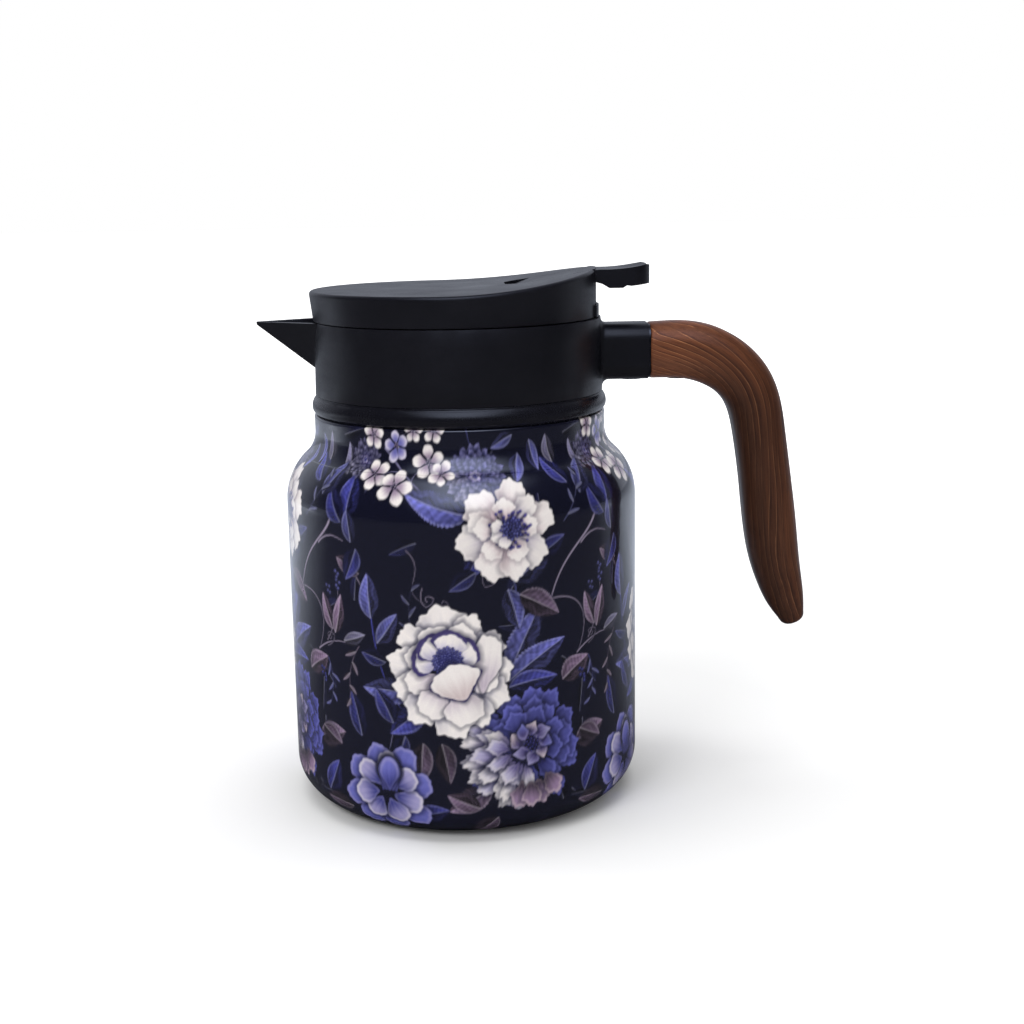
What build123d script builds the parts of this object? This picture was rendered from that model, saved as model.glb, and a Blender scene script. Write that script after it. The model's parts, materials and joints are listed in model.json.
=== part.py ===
"""Insulated table jug with a screw-in lid, a thumb lever that opens a pouring valve, and a wooden grip.

Millimetres. The origin is the centre of the base on the jug's axis, +Z is up,
the beak points along -X and the handle along +X. The lid is shown closed.
"""

from build123d import *
from math import cos, hypot, radians, sin, sqrt
import os

# ---- Driving dimensions --------------------------------------------------

# Steel jar: outer shell
BODY_R = 60.0
SHELL_WALL = 0.8
BASE_CORNER_R = 14.0
FOOT_RING = 2.0
SHOULDER_Z = 104.0
SHOULDER_R = 21.0
THROAT_R = 49.5
THROAT_Z = 127.6
LEDGE_Z = 133.3
NECK_R = 45.4
MOUTH_Z = 147.0
NECK_BEAD_Z = 143.5
NECK_BEAD_R = 1.1

# Steel jar: inner liner
LINER_WALL = 0.6
LINER_R = 55.5
LINER_FLOOR_Z = 6.0
LINER_CORNER_R = 10.5
LINER_SHOULDER_Z = 102.0
LINER_SHOULDER_R = 19.0
LINER_NECK_R = 43.2
BORE_R = LINER_NECK_R - LINER_WALL

# Base disc and the evacuation seal under it
BASE_Z = 2.0
BASE_WALL = 0.8
GETTER_R = 5.0

# Collar
COLLAR_Z = 140.0
COLLAR_R = 48.85
RIM_Z = 164.3
RIM_R = 48.4
COLLAR_BORE_R = 45.2
GASKET_TOP_Z = 148.2
SHELF_TOP_Z = 149.7
SHELF_R = 42.9
BEAD_R = 50.1

# Beak
BEAK_ROOT_X = -46.0
BEAK_TIP_X = -67.9
BEAK_HALF_WIDTH = 14.5
BEAK_KEEL_Z = 146.5

# Handle
STUB_X = 64.2
STUB_WIDTH = 18.0
STUB_HEIGHT = 18.9
HANDLE_Z = 152.35
SPACER_WALL = 0.6
TANG_WIDTH = 10.0
TANG_HEIGHT = 8.0
TANG_START_X = 53.2
TANG_END_X = 84.0
SCREW_XS = (58.8, 75.0)
SCREW_R = 1.95
SCREW_HEAD_R = 3.7
SCREW_HEAD_Z = 145.0
BELOW_STUB_Z = 141.0

# Quick thread between the stopper and the collar
LEAD = 36.0
THREAD_STARTS = 3
LUG_HALF_ANGLE = 12.0
LUG_HEIGHT = 2.2
LUG_Z = 152.2
LUG_R = 44.9
RAMP_HALF_ANGLE = 20.0
RAMP_HEIGHT = 2.6
THREAD_GAP = 0.3

# Stopper
STOPPER_R = 42.2
STOPPER_WALL = 2.4
SEAL_Z = 136.0
SEAL_TOP_Z = 140.0
SPIGOT_R = 39.0
SEAL_R = BORE_R - 0.05
DECK_Z = 158.0
DECK_WALL = 2.5
FLANGE_R = 43.5
FLANGE_TOP_Z = 166.5
WINDOW_HALF_WIDTH = 12.0
PORT_R = 10.0
SEAT_Z = 137.0
BOSS_RING_R = 33.0
BOSS_R = 3.5

# Lid cover
LID_Z = 164.7
LID_R = 47.82
LID_SHIFT = -0.91
LID_TOP_Z = 184.0
LID_TOP_R = 49.03
LID_TOP_SHIFT = -1.99
LID_WALL = 2.2
LID_FLAT_Z = 174.6
LID_RISE_X = -7.0
LID_RISE_R = 240.0
SLOT_X = 16.0
SLOT_HALF_WIDTH = 10.9
SLOT_FLOOR_Z = 168.7
SLOT_FRONT_R = 7.0

# Thumb lever
LEVER_HALF_WIDTH = 10.5
LEVER_TIP_X = 64.6
LEVER_FRONT_X = 17.2
PIVOT_X = 30.0
PIVOT_Z = 172.5
PIVOT_R = 1.5
STEM_PIN_Z = 163.5
STEM_PIN_R = 1.2

# Valve
STEM_R = 2.4
PLUG_R = 13.0
PLUG_Z = 138.2
PLUG_TOP_Z = 141.0
CLIP_TOP_Z = 141.8
CLIP_GROOVE_R = 2.0
SPRING_R = 6.5
SPRING_WIRE_R = 0.5
SPRING_TURNS = 5

RUNNING = 0.05


# ---- Shared shapes ---------------------------------------------------------

def jar_outline(body_r, foot_r, floor_z, corner_r, shoulder_z, shoulder_r, throat_r, throat_z):
    """Draws one wall line of the jar, from its floor up to the start of the throat.

    The shoulder is a convex arc off the side wall that runs smoothly into a
    hollow arc, whose radius follows from both being tangent.
    """
    inset = throat_r - (body_r - shoulder_r)
    rise = throat_z - shoulder_z
    hollow_r = (inset**2 + rise**2 - shoulder_r**2) / (2 * (shoulder_r - inset))
    crown = (body_r - shoulder_r, shoulder_z)
    hollow = (throat_r + hollow_r, throat_z)
    share = shoulder_r / hypot(hollow[0] - crown[0], hollow[1] - crown[1])
    meeting = (crown[0] + share * (hollow[0] - crown[0]), crown[1] + share * (hollow[1] - crown[1]))
    Line((foot_r, floor_z), (body_r - corner_r, floor_z))
    RadiusArc((body_r - corner_r, floor_z), (body_r, floor_z + corner_r), -corner_r)
    Line((body_r, floor_z + corner_r), (body_r, shoulder_z))
    RadiusArc((body_r, shoulder_z), meeting, -shoulder_r)
    RadiusArc(meeting, (throat_r, throat_z), hollow_r)


def helix_rib(mid_r, width, height, mid_z, half_angle):
    """A rib of rectangular section along the thread's helix, which starts on the +X side."""
    with BuildPart() as rib:
        with BuildLine(Plane.XY.offset(mid_z - LEAD * half_angle / 360)):
            path = Helix(pitch=LEAD, height=LEAD * half_angle / 180, radius=mid_r)
        with BuildSketch(Plane(origin=path @ 0, x_dir=(1, 0, 0), z_dir=path % 0)):
            Rectangle(width, height)
        sweep(path=path, is_frenet=True)
    return rib.part


def lid_blank(inset, low_z):
    """The lid's plan, a circle that grows and shifts a little towards the beak as it rises."""
    share = (low_z - LID_Z) / (LID_TOP_Z - LID_Z)
    low_r = LID_R + share * (LID_TOP_R - LID_R) - inset
    low_shift = LID_SHIFT + share * (LID_TOP_SHIFT - LID_SHIFT)
    with BuildPart() as blank:
        with BuildSketch(Plane.XY.offset(low_z)):
            with Locations((low_shift, 0)):
                Circle(low_r)
        with BuildSketch(Plane.XY.offset(LID_TOP_Z)):
            with Locations((LID_TOP_SHIFT, 0)):
                Circle(LID_TOP_R - inset)
        loft()
    return blank.part


def lid_surface_z(x, depth=0.0):
    """Height of the lid's top at x, or of a surface set in by a depth below it."""
    if x <= LID_RISE_X:
        return LID_FLAT_Z - depth
    radius = LID_RISE_R + depth
    return LID_FLAT_Z + LID_RISE_R - sqrt(radius**2 - (x - LID_RISE_X) ** 2)


def above_lid(depth):
    """All that is above the lid's top surface, which is level and then sweeps up."""
    reach = 60
    ceiling = 200
    with BuildPart() as space:
        with BuildSketch(Plane.XZ):
            with BuildLine():
                Line((-reach, LID_FLAT_Z - depth), (LID_RISE_X, LID_FLAT_Z - depth))
                RadiusArc(
                    (LID_RISE_X, LID_FLAT_Z - depth),
                    (reach, lid_surface_z(reach, depth)),
                    -LID_RISE_R - depth,
                )
                Line((reach, lid_surface_z(reach, depth)), (reach, ceiling))
                Line((reach, ceiling), (-reach, ceiling))
                Line((-reach, ceiling), (-reach, LID_FLAT_Z - depth))
            make_face()
        extrude(amount=reach, both=True)
    return space.part


def tube(low_z, high_z, outer_r, inner_r=0.0):
    """A plain disc, ring or tube on the jug's axis."""
    with BuildPart() as ring:
        with BuildSketch(Plane.XY.offset(low_z)):
            Circle(outer_r)
            if inner_r:
                Circle(inner_r, mode=Mode.SUBTRACT)
        extrude(amount=high_z - low_z)
    return ring.part


def boss_spots():
    """The three places where the stopper is screwed to the lid cover."""
    return PolarLocations(BOSS_RING_R, 3, start_angle=60)


# ---- Steel jar ---------------------------------------------------------------

foot_r = BODY_R - BASE_CORNER_R - FOOT_RING
with BuildPart() as outer_shell:
    with BuildSketch(Plane.XZ):
        with BuildLine():
            jar_outline(
                BODY_R, foot_r, 0, BASE_CORNER_R, SHOULDER_Z, SHOULDER_R, THROAT_R, THROAT_Z
            )
            FilletPolyline(
                (THROAT_R, THROAT_Z),
                (THROAT_R, LEDGE_Z),
                (NECK_R, LEDGE_Z),
                (NECK_R, MOUTH_Z),
                (LINER_NECK_R, MOUTH_Z),
                radius=0.7,
            )
            Polyline(
                (LINER_NECK_R, MOUTH_Z),
                (LINER_NECK_R, MOUTH_Z - SHELL_WALL),
                (NECK_R - SHELL_WALL, MOUTH_Z - SHELL_WALL),
                (NECK_R - SHELL_WALL, LEDGE_Z - SHELL_WALL),
                (THROAT_R - SHELL_WALL, LEDGE_Z - SHELL_WALL),
                (THROAT_R - SHELL_WALL, THROAT_Z),
            )
            jar_outline(
                BODY_R - SHELL_WALL,
                foot_r,
                SHELL_WALL,
                BASE_CORNER_R - SHELL_WALL,
                SHOULDER_Z,
                SHOULDER_R - SHELL_WALL,
                THROAT_R - SHELL_WALL,
                THROAT_Z,
            )
            Line((foot_r, SHELL_WALL), (foot_r, 0))
        make_face()
    revolve(axis=Axis.Z)
    # The rolled bead that the collar snaps over
    with BuildSketch(Plane.XZ):
        with Locations((NECK_R - 0.25, NECK_BEAD_Z)):
            Circle(NECK_BEAD_R)
        with Locations((NECK_R - 0.5 * SHELL_WALL - 2, NECK_BEAD_Z)):
            Rectangle(4, 4 * NECK_BEAD_R, mode=Mode.SUBTRACT)
    revolve(axis=Axis.Z)

with BuildPart() as inner_liner:
    with BuildSketch(Plane.XZ):
        with BuildLine():
            jar_outline(
                LINER_R,
                0,
                LINER_FLOOR_Z,
                LINER_CORNER_R,
                LINER_SHOULDER_Z,
                LINER_SHOULDER_R,
                LINER_NECK_R,
                THROAT_Z,
            )
            Polyline(
                (LINER_NECK_R, THROAT_Z),
                (LINER_NECK_R, MOUTH_Z),
                (BORE_R, MOUTH_Z),
                (BORE_R, THROAT_Z),
            )
            jar_outline(
                LINER_R - LINER_WALL,
                0,
                LINER_FLOOR_Z + LINER_WALL,
                LINER_CORNER_R - LINER_WALL,
                LINER_SHOULDER_Z,
                LINER_SHOULDER_R - LINER_WALL,
                BORE_R,
                THROAT_Z,
            )
            Line((0, LINER_FLOOR_Z + LINER_WALL), (0, LINER_FLOOR_Z))
        make_face()
    revolve(axis=Axis.Z)

with BuildPart() as outer_base:
    plate_r = foot_r - RUNNING
    flange = 3.0
    add(tube(BASE_Z, BASE_Z + BASE_WALL, plate_r))
    add(tube(SHELL_WALL / 2, BASE_Z, plate_r, plate_r - BASE_WALL))
    # A raised stiffening ring pressed into the disc
    add(tube(BASE_Z + BASE_WALL, BASE_Z + 2 * BASE_WALL, plate_r / 2, plate_r / 2 - flange))

with BuildPart() as getter_cap:
    add(tube(BASE_Z - 1.0, BASE_Z, GETTER_R))
    chamfer(getter_cap.faces().sort_by(Axis.Z)[0].edges(), length=0.4)


# ---- Collar, beak and handle stub --------------------------------------------

with BuildPart() as trim_ring:
    with BuildSketch(Plane.XZ):
        with BuildLine():
            Line((NECK_R + 0.9, LEDGE_Z + 0.1), (THROAT_R - 0.9, LEDGE_Z + 0.1))
            RadiusArc((THROAT_R - 0.9, LEDGE_Z + 0.1), (BEAD_R, 136.0), -2.9)
            RadiusArc((BEAD_R, 136.0), (COLLAR_R - 0.1, 139.3), -4.6)
            Polyline(
                (COLLAR_R - 0.1, 139.3),
                (COLLAR_R - 0.1, COLLAR_Z - 0.05),
                (NECK_R + 0.1, COLLAR_Z - 0.05),
                (NECK_R + 0.1, LEDGE_Z + 0.9),
                (NECK_R + 0.9, LEDGE_Z + 0.1),
            )
        make_face()
    revolve(axis=Axis.Z)

with BuildPart() as neck_gasket:
    add(tube(MOUTH_Z + RUNNING, GASKET_TOP_Z - RUNNING, NECK_R - 0.1, LINER_NECK_R + 0.1))

ramp = helix_rib(
    mid_r=(SHELF_R + COLLAR_BORE_R + 0.8) / 2,
    width=COLLAR_BORE_R + 0.8 - SHELF_R,
    height=RAMP_HEIGHT,
    mid_z=LUG_Z + LUG_HEIGHT / 2 + THREAD_GAP + RAMP_HEIGHT / 2,
    half_angle=RAMP_HALF_ANGLE,
)

with BuildPart() as collar:
    # Outer wall
    with BuildSketch(Plane.XZ):
        with BuildLine():
            Polyline(
                (0, COLLAR_Z),
                (COLLAR_R, COLLAR_Z),
                (RIM_R, RIM_Z),
                (0, RIM_Z),
                close=True,
            )
        make_face()
    revolve(axis=Axis.Z)
    # Handle stub, flared where it leaves the wall
    stub_root_x = 44.0
    with BuildSketch(Plane.YZ.offset(stub_root_x)):
        with Locations((0, HANDLE_Z)):
            RectangleRounded(STUB_WIDTH, STUB_HEIGHT, 5)
    extrude(amount=STUB_X - stub_root_x)
    root = collar.edges().filter_by_position(Axis.X, COLLAR_R - 3, COLLAR_R + 1)
    root = root.filter_by(GeomType.LINE, reverse=True)
    root = root.filter_by_position(Axis.Y, -STUB_WIDTH / 2 - 0.1, STUB_WIDTH / 2 + 0.1)
    root = root.filter_by_position(Axis.Z, COLLAR_Z + 1.5, RIM_Z - 1.5)
    fillet(root, radius=2.2)
    # Beak
    keel_half_width = 2.5
    with BuildSketch(Plane.YZ.offset(BEAK_ROOT_X)):
        with BuildLine():
            Polyline(
                (-BEAK_HALF_WIDTH, RIM_Z),
                (-keel_half_width, BEAK_KEEL_Z),
                (keel_half_width, BEAK_KEEL_Z),
                (BEAK_HALF_WIDTH, RIM_Z),
                close=True,
            )
        make_face()
    with BuildSketch(Plane.YZ.offset(BEAK_TIP_X)):
        with BuildLine():
            Polyline(
                (-1.0, RIM_Z),
                (-0.4, RIM_Z - 1.0),
                (0.4, RIM_Z - 1.0),
                (1.0, RIM_Z),
                close=True,
            )
        make_face()
    loft(ruled=True)
    # Bore: it fits over the steel neck and bead, and has a shelf for the gasket
    with BuildSketch(Plane.XZ):
        with BuildLine():
            Polyline(
                (0, COLLAR_Z),
                (NECK_R + 0.1, COLLAR_Z),
                (NECK_R + 0.1, NECK_BEAD_Z - 1.4),
                (NECK_R + 1.1, NECK_BEAD_Z - 0.4),
                (NECK_R + 1.1, NECK_BEAD_Z + 0.4),
                (NECK_R + 0.1, NECK_BEAD_Z + 1.4),
                (NECK_R + 0.1, GASKET_TOP_Z),
                (SHELF_R, GASKET_TOP_Z),
                (SHELF_R, SHELF_TOP_Z),
                (COLLAR_BORE_R, SHELF_TOP_Z),
                (COLLAR_BORE_R, RIM_Z),
                (0, RIM_Z),
                close=True,
            )
        make_face()
    revolve(axis=Axis.Z, mode=Mode.SUBTRACT)
    # Pouring channel, open at the top
    channel_z = 150.0
    channel_half_width = 5.0
    with BuildSketch(Plane.YZ.offset(BEAK_ROOT_X + 4)):
        with BuildLine():
            Polyline(
                (-BEAK_HALF_WIDTH + 0.5, RIM_Z + 1),
                (-channel_half_width, channel_z),
                (channel_half_width, channel_z),
                (BEAK_HALF_WIDTH - 0.5, RIM_Z + 1),
                close=True,
            )
        make_face()
    with BuildSketch(Plane.YZ.offset(BEAK_TIP_X + 1.2)):
        with BuildLine():
            Polyline(
                (-0.5, RIM_Z + 1),
                (-0.2, RIM_Z - 0.7),
                (0.2, RIM_Z - 0.7),
                (0.5, RIM_Z + 1),
                close=True,
            )
        make_face()
    loft(ruled=True, mode=Mode.SUBTRACT)
    # Thread ramps, which hold the stopper's lugs down
    with PolarLocations(0, THREAD_STARTS, start_angle=-RAMP_HALF_ANGLE):
        add(ramp)
    # Socket for the tang
    with BuildSketch(Plane.YZ.offset(TANG_START_X - 0.2)):
        with Locations((0, HANDLE_Z)):
            Rectangle(TANG_WIDTH + 0.2, TANG_HEIGHT + 0.2)
    extrude(amount=20, mode=Mode.SUBTRACT)
    with Locations(Plane(origin=(SCREW_XS[0], 0, BELOW_STUB_Z), z_dir=(0, 0, -1))):
        CounterBoreHole(
            radius=SCREW_R + RUNNING,
            counter_bore_radius=SCREW_HEAD_R + 0.3,
            counter_bore_depth=SCREW_HEAD_Z - BELOW_STUB_Z,
            depth=HANDLE_Z - BELOW_STUB_Z,
        )


# ---- Handle --------------------------------------------------------------------

with BuildPart() as handle_tang:
    with BuildSketch(Plane.YZ.offset(TANG_START_X)):
        with Locations((0, HANDLE_Z)):
            RectangleRounded(TANG_WIDTH, TANG_HEIGHT, 1)
    extrude(amount=TANG_END_X - TANG_START_X)
    with BuildSketch(Plane.XY.offset(HANDLE_Z)):
        with Locations(*[(x, 0) for x in SCREW_XS]):
            Circle(SCREW_R + RUNNING)
    extrude(amount=TANG_HEIGHT, both=True, mode=Mode.SUBTRACT)

with BuildPart() as handle_screws:
    with BuildSketch(Plane.XY.offset(SCREW_HEAD_Z - 2.4)):
        with Locations(*[(x, 0) for x in SCREW_XS]):
            Circle(SCREW_HEAD_R)
            RegularPolygon(1.6, 6, mode=Mode.SUBTRACT)
    extrude(amount=1.6)
    with BuildSketch(Plane.XY.offset(SCREW_HEAD_Z - 0.8)):
        with Locations(*[(x, 0) for x in SCREW_XS]):
            Circle(SCREW_HEAD_R)
    extrude(amount=0.8)
    with BuildSketch(Plane.XY.offset(SCREW_HEAD_Z)):
        with Locations(*[(x, 0) for x in SCREW_XS]):
            Circle(SCREW_R)
    extrude(amount=10.5)

with BuildPart() as handle_spacer:
    with BuildSketch(Plane.YZ.offset(STUB_X)):
        with Locations((0, HANDLE_Z)):
            RectangleRounded(STUB_WIDTH - 1.0, STUB_HEIGHT - 1.0, 4.2)
            Rectangle(TANG_WIDTH + 0.2, TANG_HEIGHT + 0.2, mode=Mode.SUBTRACT)
    extrude(amount=SPACER_WALL)

# Grip stations: centre x, centre z, heading below the horizontal, thickness, width
GRIP_STATIONS = (
    (STUB_X + SPACER_WALL, HANDLE_Z, 0, 18.9, 18.0),
    (74.7, 152.4, 2, 19.4, 18.6),
    (82.2, 151.3, 14, 19.7, 19.0),
    (89.0, 148.5, 30, 19.5, 19.0),
    (94.6, 144.4, 44, 19.0, 19.0),
    (98.8, 139.1, 58, 18.5, 18.8),
    (101.5, 132.4, 71, 18.0, 18.6),
    (103.3, 123.3, 79, 17.6, 18.2),
    (105.3, 109.4, 82, 17.6, 17.8),
    (107.5, 91.5, 83, 18.0, 17.4),
    (109.1, 80.6, 80, 17.2, 17.0),
    (111.5, 70.4, 75, 15.1, 15.8),
    (114.1, 62.2, 71, 12.1, 13.4),
    (115.8, 57.6, 70, 9.0, 10.6),
)
with BuildPart() as grip:
    for x, z, heading, thickness, width in GRIP_STATIONS:
        along = (cos(radians(heading)), 0, -sin(radians(heading)))
        with BuildSketch(Plane(origin=(x, 0, z), x_dir=(0, 1, 0), z_dir=along)):
            RectangleRounded(width, thickness, 0.36 * min(width, thickness))
    loft()
    tip = grip.faces().sort_by(Axis.Z)[0]
    fillet(tip.edges(), radius=2.2)
    with BuildSketch(Plane.YZ.offset(STUB_X)):
        with Locations((0, HANDLE_Z)):
            Rectangle(TANG_WIDTH + 0.2, TANG_HEIGHT + 0.2)
    extrude(amount=TANG_END_X + 0.3 - STUB_X, mode=Mode.SUBTRACT)
    with Locations(Plane(origin=(SCREW_XS[1], 0, BELOW_STUB_Z), z_dir=(0, 0, -1))):
        CounterBoreHole(
            radius=SCREW_R + RUNNING,
            counter_bore_radius=SCREW_HEAD_R + 0.3,
            counter_bore_depth=SCREW_HEAD_Z - BELOW_STUB_Z,
            depth=HANDLE_Z - BELOW_STUB_Z,
        )


# ---- Stopper -------------------------------------------------------------------

lug = helix_rib(
    mid_r=(STOPPER_R - 0.8 + LUG_R) / 2,
    width=LUG_R - STOPPER_R + 0.8,
    height=LUG_HEIGHT,
    mid_z=LUG_Z,
    half_angle=LUG_HALF_ANGLE,
)

with BuildPart() as stopper_body:
    chamber_r = STOPPER_R - STOPPER_WALL
    add(tube(SEAL_Z, SEAL_TOP_Z, SPIGOT_R, chamber_r - 2.0))
    add(tube(SEAL_TOP_Z, SEAL_TOP_Z + 2, STOPPER_R, chamber_r - 2.0))
    add(tube(SEAL_TOP_Z + 2, LID_Z, STOPPER_R, chamber_r))
    add(tube(LID_Z, FLANGE_TOP_Z, FLANGE_R, chamber_r))
    add(tube(DECK_Z, DECK_Z + DECK_WALL, chamber_r + 0.2))
    # Window that faces the beak
    with BuildSketch(Plane.YZ.offset(-STOPPER_R - 3)):
        with Locations((0, (SHELF_TOP_Z + DECK_Z) / 2)):
            RectangleRounded(2 * WINDOW_HALF_WIDTH, DECK_Z - SHELF_TOP_Z - 0.6, 2)
    extrude(amount=10, mode=Mode.SUBTRACT)
    # Holes through the deck for the stem's gasket and the screws
    with BuildSketch(Plane.XY.offset(DECK_Z)):
        Circle(5)
        with boss_spots():
            Circle(1.5)
    extrude(amount=DECK_WALL, mode=Mode.SUBTRACT)
    with PolarLocations(0, THREAD_STARTS, start_angle=-LUG_HALF_ANGLE):
        add(lug)

with BuildPart() as stopper_base:
    add(tube(SEAL_Z - 2.4, SEAL_Z, STOPPER_R - 0.2, PORT_R))
    chamfer(stopper_base.faces().sort_by(Axis.Z)[0].outer_wire().edges(), length=1.0)
    # Valve seat around the port, and the rim that clips inside the spigot
    add(tube(SEAL_Z, SEAT_Z, PORT_R + 1.2, PORT_R))
    add(tube(SEAL_Z, SEAL_Z + 3, SPIGOT_R - 1.2 - RUNNING, SPIGOT_R - 2.6))

with BuildPart() as stopper_seal:
    # A band with two soft lips that wipe the neck
    with BuildSketch(Plane.XZ):
        lip = 0.8
        with BuildLine():
            Polyline(
                (SPIGOT_R + RUNNING, SEAL_Z + RUNNING),
                (STOPPER_R - 1.0, SEAL_Z + RUNNING),
                (SEAL_R, SEAL_Z + lip),
                (SEAL_R, SEAL_Z + 1.5),
                (STOPPER_R - 1.0, SEAL_Z + 1.9),
                (SEAL_R, SEAL_Z + 2.5),
                (SEAL_R, SEAL_Z + 3.2),
                (STOPPER_R - 1.0, SEAL_TOP_Z - RUNNING),
                (SPIGOT_R + RUNNING, SEAL_TOP_Z - RUNNING),
                close=True,
            )
        make_face()
    revolve(axis=Axis.Z)

with BuildPart() as stem_gasket:
    add(tube(DECK_Z, DECK_Z + DECK_WALL, 5 - RUNNING, STEM_R + RUNNING))

with BuildPart() as lid_screws:
    with BuildSketch(Plane.XY.offset(DECK_Z - 2.0)):
        with boss_spots():
            Circle(2.8)
            Rectangle(4.0, 0.8, mode=Mode.SUBTRACT)
    extrude(amount=1.0)
    with BuildSketch(Plane.XY.offset(DECK_Z - 1.0)):
        with boss_spots():
            Circle(2.8)
    extrude(amount=1.0)
    with BuildSketch(Plane.XY.offset(DECK_Z)):
        with boss_spots():
            Circle(1.25)
    extrude(amount=9.0)


# ---- Lid cover -----------------------------------------------------------------

boss_foot_z = DECK_Z + DECK_WALL + RUNNING
ear_inner_y = LEVER_HALF_WIDTH + 0.6
ear_wall = 3.0

with BuildPart() as lid_cavity:
    add(lid_blank(LID_WALL, LID_Z - 6))
    add(above_lid(LID_WALL), mode=Mode.SUBTRACT)
    with BuildSketch(Plane.XY.offset(LID_Z - 6)):
        with boss_spots():
            Circle(BOSS_R)
    extrude(amount=30, mode=Mode.SUBTRACT)
    with BuildSketch(Plane.XY.offset(PIVOT_Z - 3.5)):
        with Locations((PIVOT_X, ear_inner_y + ear_wall / 2), (PIVOT_X, -ear_inner_y - ear_wall / 2)):
            Rectangle(8, ear_wall)
    extrude(amount=20, mode=Mode.SUBTRACT)

with BuildPart() as lid_cover:
    add(lid_blank(0, LID_Z))
    add(above_lid(0), mode=Mode.SUBTRACT)
    rim = lid_cover.edges().filter_by_position(Axis.Z, LID_FLAT_Z - 0.5, LID_TOP_Z)
    fillet(rim.filter_by(GeomType.LINE, reverse=True), radius=1.1)
    # Tab at the rear, below the lever
    with BuildSketch(Plane.XY.offset(LID_Z)):
        with Locations((LID_SHIFT, 0)):
            Circle(LID_R + 0.9)
        with Locations((LID_R - 2, 0)):
            Rectangle(10, 25, mode=Mode.INTERSECT)
    extrude(amount=3.8)
    add(lid_cavity.part, mode=Mode.SUBTRACT)
    # Bosses for the screws, hanging below the rim
    with BuildSketch(Plane.XY.offset(boss_foot_z)):
        with boss_spots():
            Circle(BOSS_R)
    extrude(amount=LID_Z - boss_foot_z + 1)
    with BuildSketch(Plane.XY.offset(boss_foot_z)):
        with boss_spots():
            Circle(1.25 + RUNNING)
    extrude(amount=9.0, mode=Mode.SUBTRACT)
    # Slot for the lever, through the top and down the rear wall
    with BuildSketch(Plane.XY.offset(SLOT_FLOOR_Z)):
        slot_length = 60 - SLOT_X
        with Locations((SLOT_X + slot_length / 2, 0)):
            RectangleRounded(slot_length, 2 * SLOT_HALF_WIDTH, SLOT_FRONT_R)
    extrude(amount=20, mode=Mode.SUBTRACT)
    # Pocket behind the tab that the lever's skirt sinks into
    with BuildSketch(Plane.XY.offset(FLANGE_TOP_Z - 1)):
        with Locations((LID_SHIFT, 0)):
            Circle(LID_R + 0.15)
        with Locations((LID_R - 4, 0)):
            Rectangle(12, 2 * SLOT_HALF_WIDTH, mode=Mode.INTERSECT)
    extrude(amount=SLOT_FLOOR_Z - FLANGE_TOP_Z + 1.5, mode=Mode.SUBTRACT)
    # Bores for the lever's pin
    with BuildSketch(Plane.XZ):
        with Locations((PIVOT_X, PIVOT_Z)):
            Circle(PIVOT_R + RUNNING)
    extrude(amount=ear_inner_y + ear_wall + 1, both=True, mode=Mode.SUBTRACT)


# ---- Lever and valve -----------------------------------------------------------

strip_wall = 2.5
skirt_x = 46.95
skirt_wall = 1.6

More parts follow.
